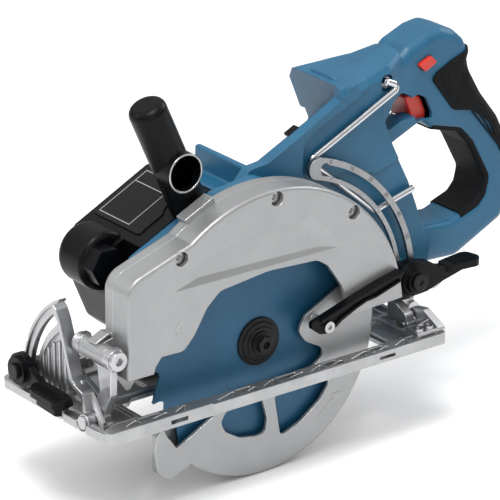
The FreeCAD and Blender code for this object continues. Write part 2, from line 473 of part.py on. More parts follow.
# rectangular boss on the top of the rim
bosst = Part.makeBox(26, 11, 9, V(-13, 0, -5.5))
bosst.rotate(V(0, 0, 0), V(0, 1, 0), 25)
bosst.translate(V(47.5, 26.0, 135.0))
bh = bosst.common(box(0, 130, GUARD_Y0 - 5, GUARD_YM, 100, 160)).cut(fuse(ycyl(0, SP_Z, CAV_R + 4, 20, 60), ycyl(GS[0][0], GS[0][1], 6.5, 20, 60)))
gh = fuse(gh, bh)
# lug for the depth pivot, in the middle of the front fork, and its stop tab
lug = fuse(ycyl(FX, FZ, 7.0, 17.6, 44.4), prism([(119, 45, 1), (FX, 47.0, 2), (FX, 61, 2), (119, 63, 1)], "xz", 25.4, 35.9),
           prism([(119, 45, 1), (FX, 47.0, 2), (FX, 61, 2), (119, 63, 1)], "xz", 26, 35.9))
tab = prism([(113.5, 64.5, 0.6), (124, 66.4, 0.6), (135, 61.6, 0.6), (134.4, 60.2, 0.6), (124, 64.8, 0.6), (114, 62.9, 0.6)], "xz", 26.0, 35.0)
wedge = prism([(120.9, 42, 0), (120.9, 36, 2), (110.5, 21.5, 1.2), (107.4, 21.8, 1.2), (100.2, 31, 2), (100.2, 42, 0)], "xz", 28.2, 35.9)
gh = fuse(gh, lug, tab, wedge, ycyl(118.5, 44, 4.6, 27, 35.9)).cut(ycyl(FX, FZ, 4.02, 5, 60))
gh = gh.cut([ycyl(0, SP_Z, CAV_R, GUARD_Y0 + 3, GUARD_YM + 1).common(box(-200, 200, 20, 40, GUARD_LOW, 200)), ycyl(0, SP_Z, 99.5, 27, 37)])
keep("guard_housing", gh)
gc = fuse(gc, arrow)
gc = gc.cut(ycyl(FX, FZ, 9.0, 40, 60))
keep("guard_cover", gc)
keep("guard_screws", Part.makeCompound([screw_y(gx, gz, 49.6, 1.96, 17.5, 4.4, 3.6) for gx, gz in GS]), 3)

# ---- gear housing (behind the guard) with the bearing nose
gho = prism([(-34, 16, 6), (20, 14, 10), (62, 26, 12), (92, 44, 10), (103, 62, 10), (104, 90, 8), (88, 105, 6), (22, 136.5, 4), (-14, 141, 8), (-34, 132, 8)], "xz", BODY_Y1 + 0.1, GUARD_Y0 - 0.1)
gho = fuse(gho, ycyl(0, SP_Z, 21.95, GUARD_Y0 - 0.5, 31.3), ycyl(0, SP_Z, 23.8, GUARD_Y0 - 0.5, 28.4))
gho = gho.cut([ycyl(0, SP_Z, 16.0, 24.0, 29.8), ycyl(0, SP_Z, 11.0, 29.0, 33.0), ycyl(0, SP_Z, 17.4, BODY_Y1 + 6.0, 24.1),
               ycyl(IDX, IDZ, 10.0, BODY_Y1 + 6.0, 23.4), ycyl(0, SP_Z, 11.05, BODY_Y1 + 2.4, BODY_Y1 + 7),
               ycyl(IDX, IDZ, 5.0, BODY_Y1 - 1, 23.4)])
gho = gho.cut([prism([(54, 70, 6), (94, 66, 8), (94, 88, 8), (60, 108, 8)], "xz", BODY_Y1 - 1, 21.8),
               prism([(-28, 60, 6), (14, 76, 6), (14, 128, 8), (-16, 132, 8), (-28, 126, 6)], "xz", BODY_Y1 - 1, 21.8)])
keep("gear_housing", gho)

# ---- motor housing, end cap and plate
MH = [(0.6, 24, 4), (44, 24, 14), (66, 28.5, 8), (77, 38, 8), (90, 69, 12), (93, 88, 10), (86, 106.5, 5), (22, 137.8, 3), (17, 128, 2), (0.6, 126, 2)]
mh = prism(MH, "xz", -48, BODY_Y1)
mc = prism(MH, "xz", -61, -48)
mc = soften(mc, 5.0, lambda e: abs(e.BoundBox.YMax + 61) < 1e-3)
mh = mh.cut([ycyl(MX, MZ, 28.4, -50, -3.0), ycyl(MX, MZ, 9.0, -4, 1.2), ycyl(IDX, IDZ, 18.6, 1.2, 8.0), ycyl(MX, MZ, 10.4, 1.2, 8.0), ycyl(IDX, IDZ, 5.0, 7, 11),
             ycyl(IDX, IDZ, 5.2, -3.6, 1.3)])
# front face swells into a round nose with a six-sided boss on its side
core = prism([(60, 44, 5), (74, 46, 5), (84, 70, 6), (87, 88, 6), (80, 101, 4), (67, 105, 4), (62, 86, 5)], "xz", -46, BODY_Y1 - 4)
step_out = box(79.5, 130, -9.5, 20, 78, 130)
core = core.cut(box(76.5, 130, -12.5, 20, 75, 130))
mh = mh.cut([core, step_out])
nose = ycyl(91.0, 94.5, 21.5, -45.0, -12.0)
nose = soften(nose, 5.0, lambda e: abs(e.BoundBox.YMin + 12.0) < 1e-3 and e.Length > 100)
nose = soften(nose, 9.0, lambda e: abs(e.BoundBox.YMin + 45.0) < 1e-3 and abs(e.BoundBox.YMax + 45.0) < 1e-3 and e.Length > 100)
hexb = prism([(111.0, 95.5, 1.2), (103.5, 108.0, 1.2), (90, 107.5, 1.2), (84, 96, 1.2), (91.5, 84, 1.2), (105, 84, 1.2)], "xz", -14.0, -1.5)
nose = fuse(nose, hexb).cut([core, prism(MH, "xz", -60, -9.5), ycyl(91.0, 94.5, 17.5, -38.0, -15.5)])
mh = fuse(mh, nose)
vents = []
for i in range(7):
    zz = 44 + i * 5.6
    vents.append(box(MX - 20 + abs(i - 3) * 2.2, MX + 20 - abs(i - 3) * 2.2, -64, -57.2, zz, zz + 2.6))
mc = mc.cut([ycyl(MX, MZ, 28.4, -58.2, -47), ycyl(MX, MZ, 7.0, -59.4, -57)] + [v.common(ycyl(MX, MZ, 25.5, -70, -50)) for v in vents])
keep("motor_housing", mh)
keep("motor_end_cap", mc)
# blank plate on the sloping top
px, pz = 26.0, 135.85
ang = math.degrees(math.atan2(137.8 - 112, 75 - 22))
pl = prism([(0, 0, 2), (52, 0, 2), (52, 53, 2), (0, 53, 2)], "xy", 0, 0.8)
pl.rotate(V(0, 0, 0), V(0, 1, 0), ang)
pl.translate(V(px, -54.0, pz + 0.02))
pl = pl.cut([mh, mc, cyl(38, 10, 120, 16.0, 40, (math.sin(math.radians(24)), 0, math.cos(math.radians(24))))])
keep("front_plate", pl)

# ---- front handle post with a round side port
pa = math.radians(24.0)
pd = (math.sin(pa), 0, math.cos(pa))
P0 = V(38.5, 9.0, 131.5)
L = 86.0
post = Part.makeCylinder(13.4, L, P0, V(*pd))
post = soften(post, 6.0, lambda e: e.CenterOfMass.z > 190 and e.Length > 60)
skirt = Part.makeCylinder(13.4, 14, P0.sub(V(*pd).multiply(12)), V(*pd))
post = fuse(post, skirt)
PC = P0.add(V(*pd).multiply(32.0))
port = ycyl(PC.x, PC.z, 14.2, PC.y, 24.6)
post = fuse(post, port)
post = post.cut([ycyl(PC.x, PC.z, 12.4, PC.y - 2, 30), Part.makeCylinder(11.2, L - 18, P0.sub(V(*pd).multiply(0)), V(*pd))])
post = post.cut([mh, gho, gh, gc, box(-50, 120, 10, 30, 60, 118)])
keep("front_handle", max(post.Solids, key=lambda s: s.Volume))
keep("front_plate", max(NODES["front_plate"].cut(NODES["front_handle"]).Solids, key=lambda s: s.Volume))

# ---- body shells
SB = [(0.4, 24, 4), (0.4, 126, 2), (-16, 125, 2), (-16.5, 142, 2), (-21, 142, 2), (-38, 102, 4), (-117, 139, 2), (-106, 165, 0), (-135.5, 165, 0), (-135.5, 151.4, 3), (-138.7, 143.1, 8), (-143.4, 131.5, 10),
      (-150, 118, 12), (-158.6, 100.9, 12), (-164.3, 88.1, 12), (-168.0, 78.0, 12), (-173.2, 61.6, 8), (-180, 48, 8), (-178, 34, 8), (-160, 24, 8)]
HB = [(-100, 187, 2), (-126, 187.5, 10), (-159, 190, 8), (-166, 196, 8), (-185, 203.5, 8), (-197, 205, 10), (-209, 200, 10), (-218, 192, 8), (-222.5, 183, 8), (-219, 173, 12), (-234, 147, 30), (-250, 126, 20), (-261, 104, 20),
      (-268, 78, 12), (-265, 60, 10), (-256, 46, 10), (-214, 26, 14), (-176, 28, 8), (-150, 30, 4), (-130, 60, 4)]
D_OPEN = [(-147.5, 124.8, 3), (-179.5, 138.3, 3), (-187.5, 131, 5), (-213.5, 123.5, 8), (-224, 112, 14), (-240, 82, 10), (-237, 70, 7), (-231, 63.5, 6), (-208, 55.5, 8), (-182, 57, 6), (-172.5, 62.5, 6),
          (-166.5, 80.5, 8), (-158.6, 100.9, 10), (-150, 118, 10)]
T_OPEN = [(-136, 150.5, 3), (-146.5, 162, 4), (-160, 164, 4), (-168, 160, 3), (-170.5, 150, 0), (-171.5, 143.8, 0), (-159, 143.5, 3), (-147, 138.5, 3)]
body = prism(SB, "xz", BODY_Y0, BODY_Y1)
body = soften(body, 3.0, lambda e: (abs(e.BoundBox.YMin - BODY_Y1) < 1e-3 or abs(e.BoundBox.YMax - BODY_Y0) < 1e-3) and e.BoundBox.XMax < -98)


def hood_loft(d):
    """Rounded hood between the bay and the grip; d shrinks it for the hollow inside."""
    secs = [(-94, [(10, 150), (10, 178), (6, 184), (-22, 184.5), (-50, 184), (-58, 174), (-58, 150)]),
            (-122, [(6.8, 150), (6.8, 179.5), (3.0, 185.4), (-22, 187.0), (-46, 185.5), (-56.5, 177), (-57.5, 150)]),
            (-142, [(4.5, 150), (4.5, 185.5), (1.2, 190), (-22, 191.4), (-41, 187.5), (-49, 180.5), (-51, 150)]),
            (-158, [(-4, 150), (-4, 191), (-7.0, 194.8), (-22, 196.5), (-35, 192.5), (-40, 186.5), (-40, 150)])]
    ws = []
    for x, q in secs:
        v = [V(x + (0.0 if x > -100 else 0.0), y - math.copysign(d, y + 22) * (0 if y == -22 else 1), z - (d if z > 150 else -1.0 * (d > 0))) for y, z in q]
        ws.append(Part.makePolygon(v + [v[0]]))
    return Part.makeLoft(ws, True, True)


hood = hood_loft(0.0)
hood = soften_each(hood, 2.4, lambda e: e.CenterOfMass.z > 172 and abs(e.CenterOfMass.y + 22) > 4 and e.Length > 12 and abs(e.BoundBox.XLength) > 8)
hand = prism(HB, "xz", HAND_Y0, HAND_Y1)
hand = soften(hand, 8.0, lambda e: abs(e.BoundBox.YMin - HAND_Y1) < 1e-3 or abs(e.BoundBox.YMax - HAND_Y0) < 1e-3)
dop = prism(D_OPEN, "xz", -80, 40)
top = prism(T_OPEN, "xz", -80, 40)
hand_full = hand
hand = hand.cut([dop, top])
hand = soften(hand, 5.0, lambda e: (abs(e.BoundBox.YMin - HAND_Y1) < 1e-3 or abs(e.BoundBox.YMax - HAND_Y0) < 1e-3) and abs(e.BoundBox.YMax - e.BoundBox.YMin) < 1e-3
              and -242 < e.CenterOfMass.x < -150 and 54 < e.CenterOfMass.z < 139)
body = body.cut([dop, top])
hood = hood.cut([dop, top])
# the bay stays open above and to the right, its left wall is the body's side
bay = prism([(-22.5, 150, 0), (-41, 105, 3), (-114, 139.5, 3), (-93, 192, 0), (-30, 192, 0)], "xz", BODY_Y0 - 5, BODY_Y1 - 9)
whole = fuse(body, hand, hood)
leftwall = prism([(0.4, 120, 0), (0.4, 128, 2), (-14, 143.5, 4), (-30, 145, 12), (-61, 160, 8), (-99, 179.5, 3), (-104, 186.5, 3), (-118, 170, 0), (-118, 110, 0)], "xz", BODY_Y1 - 9, BODY_Y1)
whole = fuse(whole, leftwall)
# step back the left side where the bracket and hook lie
stepc = prism([(-60, 10, 0), (-60, 152, 8), (-71, 160, 4), (-92, 168.7, 5), (-110, 176, 6), (-122, 180.5, 4), (-131, 187, 2), (-138, 191, 0), (-300, 192, 0), (-300, 10, 0)], "xz", 5.8, BODY_Y1 + 3)
stepd = prism([(-60, 10, 0), (-60, 98, 3), (-96, 122, 6), (-118, 116, 6), (-130, 113.5, 8), (-150, 120.5, 0), (-200, 130, 0), (-200, 10, 0)], "xz", 4.6, BODY_Y1 + 3)
stepc = fuse(stepc, stepd)
whole = whole.cut(stepc)
# hollow inside
inner_b = offset_prism(SB, "xz", BODY_Y0 + 2.8, 2.5, 0, -2.8)
hood_in = hood_loft(2.8).common(box(-157, -98, -60, 20, 140, 200)).cut(prism([(-117, 150, 0), (-94.5, 205, 0), (-80, 205, 0), (-80, 120, 0), (-117, 120, 0)], "xz", -80, 40))
inner_h = offset_prism(HB, "xz", HAND_Y0 + 2.8, HAND_Y1 - 2.8, 0, -2.8)
ring_d = offset_prism(D_OPEN, "xz", -80, 40, 0, 2.8)
ring_t = offset_prism(T_OPEN, "xz", -80, 40, 0, 2.8)
STRUT = [(-136.8, 151.0, 0), (-139.6, 143.0, 0), (-144.4, 131.3, 0), (-147.6, 124.9, 0), (-179.0, 138.2, 0), (-174.5, 141.0, 0), (-171.5, 150, 0), (-160, 160, 0), (-146.5, 160, 0)]
ring_s = offset_prism(STRUT, "xz", -80, 40, 0, 2.8)
cavity = inner_b.fuse([inner_h, hood_in]).cut([ring_d, ring_t, ring_s, prism([(-114 - 3.0, 139.5 - 0.5, 0), (-92 - 3.0, 194, 0), (-60, 194, 0), (-60, 100, 0), (-80, 100, 0)], "xz", -80, 40).common(box(-130, -60, -80, 40, 141, 200))])
whole = whole.cut(cavity)
# wall between body and handle stays open inside; trigger pocket, button hole, hub hole
TR = [(-166.5, 157.5, 1.5), (-173.9, 159.4, 2), (-181, 155.5, 3), (-186.5, 143.3, 3), (-186, 137.5, 2), (-179, 135.5, 2.5), (-173, 138.3, 3), (-171.2, 146, 5)]


def shifted(pts, d, off=0.0):
    return [(p[0] + DX * d, p[1] + DZ * d) + tuple(p[2:]) for p in pts]


TW = 12.0                                     # half width of the trigger
tpocket = offset_prism(TR, "xz", SPLIT_Y - TW - 0.5, SPLIT_Y + TW + 0.5, 0, 0.5)
for dd in (1.5, 3.0, 4.5, 6.0, 7.0):
    tpocket = tpocket.fuse(offset_prism(shifted(TR, dd), "xz", SPLIT_Y - TW - 0.5, SPLIT_Y + TW + 0.5, 0, 0.5))
tpocket = tpocket.removeSplitter()
LO = [(-171.7, 182.4, 1.5), (-183.5, 187.2, 1.5), (-189.0, 182, 1.5), (-178.5, 176.6, 1.5)]
lohole = offset_prism(LO, "xz", -60, 20, 0, 0.35)
trig_win = offset_prism(TR, "xz", -80, 40, 0, 0.5).common(box(-250, -100, -80, 40, 139.6, 200))
whole = whole.cut([tpocket, lohole, trig_win, prism(STRUT, "xz", -80, -17.0), ycyl(BX, BZ, 4.02, -60, 30)])
boltboss = ycyl(BX, BZ, 9.5, -6.0, 5.8).cut(ycyl(BX, BZ, 4.02, -60, 30))
eye = prism([(-132.0, 184.5, 4.5), (-143.0, 184.5, 4.5), (-145.0, 172.5, 4.5), (-133.5, 171.5, 4.5)], "xz", 0.8, 9.0)
eyeboss = offset_prism([(-132.0, 184.5, 4.5), (-143.0, 184.5, 4.5), (-145.0, 172.5, 4.5), (-133.5, 171.5, 4.5)], "xz", -2.5, 4.4, 0, 2.2)
whole = fuse(whole, boltboss, eyeboss.common(hood_loft(0.4))).cut([eye, ycyl(IDX, IDZ, 18.6, 1.0, 8.3)])
# screw bosses joining the halves
SS = [(-12, 40), (-60, 34), (-118, 44), (-108, 118), (-121, 157), (-208, 190), (-244, 112), (-251.5, 62), (-196, 42), (-158, 66)]
bosses = [ycyl(a, b, 4.6, BODY_Y0 + 2.0 if a > -165 else HAND_Y0 + 2, 3.2 if a > -165 else HAND_Y1 - 2.0) for a, b in SS]
bosses = [b.common(fuse(prism(SB, "xz", BODY_Y0, BODY_Y1 - 5), prism(HB, "xz", HAND_Y0, HAND_Y1))).cut([dop, top]) for b in bosses]
whole = fuse(whole, *bosses)
holes = []
for a, b in SS:
    wide = a > -165
    y0 = BODY_Y0 if wide else HAND_Y0
    holes.append(ycyl(a, b, 3.6, y0 - 2, y0 + 3.0))
    holes.append(ycyl(a, b, 1.85, y0 - 2, SPLIT_Y + 12))
whole = whole.cut(holes)
left = whole.common(box(-400, 100, SPLIT_Y + 0.0, 60, -50, 300))
right = whole.common(box(-400, 100, -100, SPLIT_Y - 0.0, -50, 300))
right = right.cut(bay)
left = left.cut(bay)
big = lambda s: max(s.Solids, key=lambda q: q.Volume)
keep("body_shell_left", big(left))
keep("body_shell_right", big(right))
NL, NR = NODES["body_shell_left"], NODES["body_shell_right"]
scr = []
for a, b in SS:
    wide = a > -165
    y0 = BODY_Y0 if wide else HAND_Y0
    scr.append(fuse(ycyl(a, b, 3.4, y0 + 0.6, y0 + 3.0), ycyl(a, b, 1.8, y0 + 3.0, SPLIT_Y + 11)).cut(ycyl(a, b, 1.5, y0 - 1, y0 + 1.9)))
keep("shell_screws", Part.makeCompound(scr), len(SS))

# ---- rubber grip cover, over the top of the grip and round its back
patch = [(-186, 168.5, 3), (-191, 173.5, 3), (-203, 179, 3), (-226, 187, 2), (-229, 170, 6), (-226, 160, 6), (-241, 142, 10), (-256, 122, 10), (-268.0, 100, 8), (-262, 92, 3), (-252, 99, 4), (-241, 124, 14), (-224, 137.5, 8), (-206, 141.5, 6)]
gp = prism(patch, "xz", HAND_Y0 - 1.3, HAND_Y1 + 1.3)
outer = soften(offset_prism(HB, "xz", HAND_Y0 - 1.3, HAND_Y1 + 1.3, 0, 1.3), 8.6, lambda e: abs(e.BoundBox.YMin - HAND_Y1 - 1.3) < 1e-3 or abs(e.BoundBox.YMax - HAND_Y0 + 1.3) < 1e-3)
hfull = soften(prism(HB, "xz", HAND_Y0, HAND_Y1), 8.0, lambda e: abs(e.BoundBox.YMin - HAND_Y1) < 1e-3 or abs(e.BoundBox.YMax - HAND_Y0) < 1e-3)
gp = gp.common(outer).cut(hfull)
gp = gp.cut([prism(LO, "xz", -60, 20), NL, NR])
keep("grip_cover", big(gp))

# ---- soft lining round the rear inside of the hand opening
hs = hand_full.cut([offset_prism(D_OPEN, "xz", -80, 40, 0, -1.5), top])
hs = soften(hs, 5.0, lambda e: (abs(e.BoundBox.YMin - HAND_Y1) < 1e-3 or abs(e.BoundBox.YMax - HAND_Y0) < 1e-3) and abs(e.BoundBox.YMax - e.BoundBox.YMin) < 1e-3
            and -242 < e.CenterOfMass.x < -150 and 54 < e.CenterOfMass.z < 139)
lz = prism([(-189, 150, 0), (-189, 110, 0), (-212, 100, 0), (-217, 50, 0), (-250, 50, 0), (-250, 150, 0)], "xz", HAND_Y0 + 0.6, HAND_Y1 - 0.6)
gl = hs.cut(hand).common(lz).cut([NL, NR, gp, body])
keep("grip_liner", big(gl))

# ---- trigger and buttons
tr = prism(TR, "xz", SPLIT_Y - TW, SPLIT_Y + TW)
tr = soften(tr, 2.0, lambda e: (abs(e.BoundBox.YMin - SPLIT_Y - TW) < 1e-3 or abs(e.BoundBox.YMax - SPLIT_Y + TW) < 1e-3) and abs(e.BoundBox.YMax - e.BoundBox.YMin) < 1e-3 and e.CenterOfMass.x > -186)
keep("trigger", tr)
lo = prism(LO, "xz", HAND_Y0 - 1.0, HAND_Y1 + 3.4)
lo = soften(lo, 1.0, lambda e: abs(e.BoundBox.YMin - HAND_Y1 - 3.4) < 1e-3)
keep("lock_off_button", lo)

# ---- battery rails, terminal block on the bay's floor
fx0, fz0 = -41.0, 105.0


def tilted(x0, x1, y0, y1, z0, z1):
    """Block on the bay floor: x along the floor from its front end to the rear, z square to it."""
    b = Part.makeBox(x1 - x0, y1 - y0, z1 - z0, V(x0, y0, z0))
    # local x -> (DX,DZ) ; local z -> (NX,NZ)
    fl = math.degrees(math.atan2(139.5 - 105.0, 114 - 41))
    m = FreeCAD.Matrix()
    c, s = math.cos(math.radians(fl)), math.sin(math.radians(fl))
    m.A11, m.A12, m.A13 = -c, 0, s
    m.A21, m.A22, m.A23 = 0, 1, 0
    m.A31, m.A32, m.A33 = s, 0, c
    b = b.transformGeometry(m)
    b.translate(V(fx0, 0, fz0))
    return b


BF = 0.05
rails = fuse(tilted(6, 12, -52, -4, BF, 4.0), tilted(62, 68, -52, -4, BF, 4.0), tilted(6, 16, -52, -4, 4.0, 6.2), tilted(58, 68, -52, -4, 4.0, 6.2), tilted(6, 68, -6.4, -4, BF, 3.0))
rails = rails.cut([NL, NR])
keep("battery_rails", big(rails))
tb = fuse(tilted(26, 48, -30, -8, BF, 5.0), *[tilted(28 + i * 4.4, 29.2 + i * 4.4, -42, -30, 1.2, 4.4) for i in range(5)])
tb = tb.cut([NL, NR, NODES["battery_rails"]])
keep("battery_terminals", big(tb))

# ---- depth clamp bolt and lever
dcb = fuse(ycyl(BX, BZ, 3.4, 5.8, 30.5), ycyl(BX, BZ, 4.0, -8.0, 5.8), hexagon(BX, BZ, 8.2, -12.0, -6.3))
dcb = fuse(dcb, ycyl(BX, BZ, 6.0, 15.0, 16.4), ycyl(BX, BZ, 6.2, 30.5, 32.6).cut(hexagon(BX, BZ, 2.6, 31.4, 34)))
keep("depth_clamp_bolt", dcb)
dh = fuse(ycyl(BX, BZ, 13.4, 16.6, 24.0), ycyl(BX, BZ, 11.5, 24.0, 27.0), ycyl(BX, BZ, 9.0, 27.0, 30.4))
dh = soften(dh, 1.0, lambda e: abs(e.BoundBox.YMin - e.BoundBox.YMax) < 1e-3 and e.CenterOfMass.y > 23.9 and e.Length > 40)
arm_d = prism([(BX + 2, BZ - 12.6, 4), (-161, 22.5, 6), (-176, 27.0, 8), (-196, 31.5, 5), (-207, 33.0, 2), (-207, 37.5, 2), (-190, 38.4, 5), (-174, 37.4, 6), (-163, 44.5, 5), (BX - 1, BZ + 12.8, 3)], "xz", 17.6, 25.4)
pad_d = prism([(-176, 16.0, 4), (-206, 11.5, 6), (-209, 24, 6), (-205, 31.0, 6), (-178, 28.0, 6)], "xy", 33.0, 38.2)
ridges = [box(-204 + i * 3.0, -202.8 + i * 3.0, 15.5, 27.0, 37.8, 38.9) for i in range(7)]
dl = fuse(dh, arm_d, pad_d, *ridges).cut([ycyl(BX, BZ, 3.46, 0, 40), ycyl(BX, BZ, 6.3, 30.2, 40)])
keep("depth_lever", dl)

# ---- hanging hook of round rod, folded flat against the side
def swept_rod(pts, r, bend):
    P = [V(*p) for p in pts]
    edges = []
    prev = P[0]
    for i in range(1, len(P) - 1):
        a, b, c = P[i - 1], P[i], P[i + 1]
        u, w = a.sub(b).normalize(), c.sub(b).normalize()
        ang = u.getAngle(w)
        t = bend / math.tan(ang / 2)
        s, e = b.add(V(u).multiply(t)), b.add(V(w).multiply(t))
        m = b.add(u.add(w).normalize().multiply(bend / math.sin(ang / 2) - bend))
        edges.append(Part.makeLine(prev, s))
        edges.append(Part.Arc(s, m, e).toShape())
        prev = e
    edges.append(Part.makeLine(prev, P[-1]))
    w = Part.Wire(edges)
    d = P[1].sub(P[0]).normalize()
    c = Part.Wire([Part.Circle(P[0], d, r).toShape()])
    return w.makePipeShell([c], True, False)


hk = swept_rod([(-136.5, 6.6, 180.6), (-147.5, 8.3, 175.6), (-66, 8.5, 137.9), (-125.2, 8.5, 87.3), (-160, 8.5, 96.3)], 2.5, 2.9)
hk = fuse(hk, cyl(-136.9, 2.2, 179.9, 2.6, 4.6, (0, 1, 0)))
keep("hanging_hook", hk)
hp = cyl(-138.4, 0.85, 178.4, 4.3, 1.9, (0, 1, 0)).fuse(cyl(-138.4, 2.7, 178.4, 3.4, 0.9, (0, 1, 0))).cut([NL, NR, hk])
keep("hook_mount", big(hp))

# ---- silver boss behind the depth lever
rbz = fuse(ycyl(-173.5, 28.0, 9.2, 15.2, 17.56), ycyl(-173.5, 28.0, 8.2, 14.9, 15.3)).cut(NODES["depth_lever"])
keep("side_boss", big(rbz))

# ================================================================ spindle line
sp = fuse(ycyl(0, SP_Z, ARBOR_R - 0.02, 12.6, 38.2), ycyl(0, SP_Z, 9.6, 24.4, 25.0))
sp = sp.cut(ycyl(0, SP_Z, 4.0, 20, 45))
keep("spindle", sp)
keep("spindle_bearings", Part.makeCompound([ycyl(0, SP_Z, 15.98, 25.0, 29.6).cut(ycyl(0, SP_Z, ARBOR_R + 0.02, 20, 40)), ycyl(0, SP_Z, 11.0, 12.5, 15.9).cut([ycyl(0, SP_Z, ARBOR_R + 0.02, 10, 40)])]), 2)
ph45 = math.radians(45)
keep("driven_gear", gear(0, SP_Z, 24, 1.3, 17.0, 23.4, ph45, ARBOR_R))
fi = fuse(ycyl(0, SP_Z, 14.5, 31.6, 33.4), ycyl(0, SP_Z, 17.5, 33.4, BLADE_Y - BLADE_T / 2)).cut(ycyl(0, SP_Z, ARBOR_R, 30, 40))
keep("inner_flange", fi)

# blade: hooked teeth round a plate, with expansion slots
pts = []
step = 2 * math.pi / TEETH
for i in range(TEETH):
    c = -i * step
    for rr, f in ((BLADE_R, 0.0), (BLADE_R - 0.9, 0.10), (BLADE_R - 3.2, 0.34), (BLADE_R - 6.8, 0.62), (BLADE_R - 8.6, 0.80), (BLADE_R - 7.4, 0.93), (BLADE_R - 4.0, 0.985)):
        a = c - f * step
        pts.append((rr * math.sin(a), SP_Z + rr * math.cos(a)))
bp = prism(pts, "xz", BLADE_Y - BLADE_T / 2, BLADE_Y + BLADE_T / 2)
tips = []
for i in range(TEETH):
    a = -i * step
    c, s = math.sin(a), math.cos(a)          # radial direction
    t, u = math.cos(a), -math.sin(a)         # tangent
    o = BLADE_R
    w = 1.7
    q = [((o) * c, SP_Z + (o) * s), ((o - 6.0) * c + 0.25 * t, SP_Z + (o - 6.0) * s + 0.25 * u),
         ((o - 6.0) * c - w * t, SP_Z + (o - 6.0) * s - w * u), ((o - 0.2) * c - w * t, SP_Z + (o - 0.2) * s - w * u)]
    tips.append(prism(q, "xz", BLADE_Y - KERF / 2, BLADE_Y + KERF / 2))
bl2 = fuse(bp, *tips)
keep("saw_blade", bl2.cut(ycyl(0, SP_Z, ARBOR_R, 30, 42)))
fo = fuse(ycyl(0, SP_Z, 17.5, BLADE_Y + BLADE_T / 2, 38.6), ycyl(0, SP_Z, 14.6, 38.6, 40.2), ycyl(0, SP_Z, 11.4, 40.2, 41.8))
fo = soften(fo, 0.6, lambda e: abs(e.BoundBox.YMin - e.BoundBox.YMax) < 1e-3 and e.CenterOfMass.y > 38 and e.Length > 60)
fo = fo.cut([ycyl(0, SP_Z, ARBOR_R, 30, 38.25), ycyl(0, SP_Z, 4.05, 30, 45)])
keep("outer_flange", fo)
bb = fuse(ycyl(0, SP_Z, 3.98, 24, 41.8), ycyl(0, SP_Z, 8.6, 41.8, 43.2), hexagon(0, SP_Z, 6.6, 43.2, 46.9, 0.3)).cut(hexagon(0, SP_Z, 3.2, 44.4, 50))
keep("blade_bolt", bb)

# ================================================================ idler and motor
keep("idler_gears", fuse(gear(IDX, IDZ, 12, 1.3, 16.6, 23.2, ph45 + math.pi + math.pi / 12, 1.0), ycyl(IDX, IDZ, 4.96, 7.2, 16.7), gear(IDX, IDZ, 26, 1.3, 2.0, 7.2, ph45, 1.0), ycyl(IDX, IDZ, 3.0, -3.4, 2.1), ycyl(IDX, IDZ, 1.2, 2, 23)))
keep("motor_shaft", fuse(gear(MX, MZ, 13, 1.3, 1.8, 7.4, ph45 + math.pi + math.pi / 13, 1.0), ycyl(MX, MZ, 3.98, -57.0, 1.9), ycyl(MX, MZ, 1.2, 1.5, 7.4)))
keep("motor_rotor", ycyl(MX, MZ, 13.5, -42, -12).cut(ycyl(MX, MZ, 3.98, -50, 0)))
st = ycyl(MX, MZ, 28.3, -44, -10).cut(ycyl(MX, MZ, 14.1, -50, 0))
sl = []
for k in range(6):
    a = math.radians(60 * k + 30)
    b = Part.makeBox(8, 40, 5, V(15.5, -46, -2.5))
    b.rotate(V(0, 0, 0), V(0, 1, 0), math.degrees(a))
    b.translate(V(MX, 0, MZ))
    sl.append(b)
keep("motor_stator", st.cut(sl))
fan = fuse(ycyl(MX, MZ, 9.0, -54.0, -46.0), ycyl(MX, MZ, 24.0, -47.2, -46.0))
bld = []
for k in range(9):
    b = Part.makeBox(16.5, 5.6, 1.4, V(7.0, -52.6, -0.7))
    b.rotate(V(0, 0, 0), V(0, 1, 0), 40 * k)
    b.translate(V(MX, 0, MZ))
    bld.append(b)
keep("cooling_fan", fuse(fan, *bld).cut(ycyl(MX, MZ, 3.98, -60, -40)))
keep("motor_bearings", Part.makeCompound([ycyl(MX, MZ, 9.0, -3.9, 1.0).cut(ycyl(MX, MZ, 4.02, -5, 3)), ycyl(MX, MZ, 7.0, -59.3, -54.6).cut(ycyl(MX, MZ, 4.02, -60, -50))]), 2)

# ================================================================ lower guard
OUT0 = LOW_Y1 - 2.6
disc = ycyl(0, SP_Z, LOW_R, LOW_Y0, LOW_Y1)
region = prism([(-90, 61), (-66, 55, 6), (-37, 41, 6), (-30.5, 31, 7), (-37, 21.5, 7), (-58, 10, 10), (-40, -1, 20), (-10, -5.0, 20), (20, -5.5, 12), (44, -14, 6), (77, -31, 4), (98, -22, 0), (130, -22, 0), (130, -140, 0), (-140, -140, 0), (-140, 61, 0)], "xz", LOW_Y0 - 1, LOW_Y1 + 1)
face = disc.common(region).common(box(-200, 200, OUT0, LOW_Y1, -100, 200))
# sector of the rim and the inner web
a_rear, a_front = 160.0, 328.0


def sector_xz(d0, d1, R, y0, y1):
    n = 8
    pts = [(0, SP_Z)] + [(R * 1.3 * math.cos(math.radians(d0 + (d1 - d0) * i / n)), SP_Z + R * 1.3 * math.sin(math.radians(d0 + (d1 - d0) * i / n))) for i in range(n + 1)]
    return prism(pts, "xz", y0, y1)


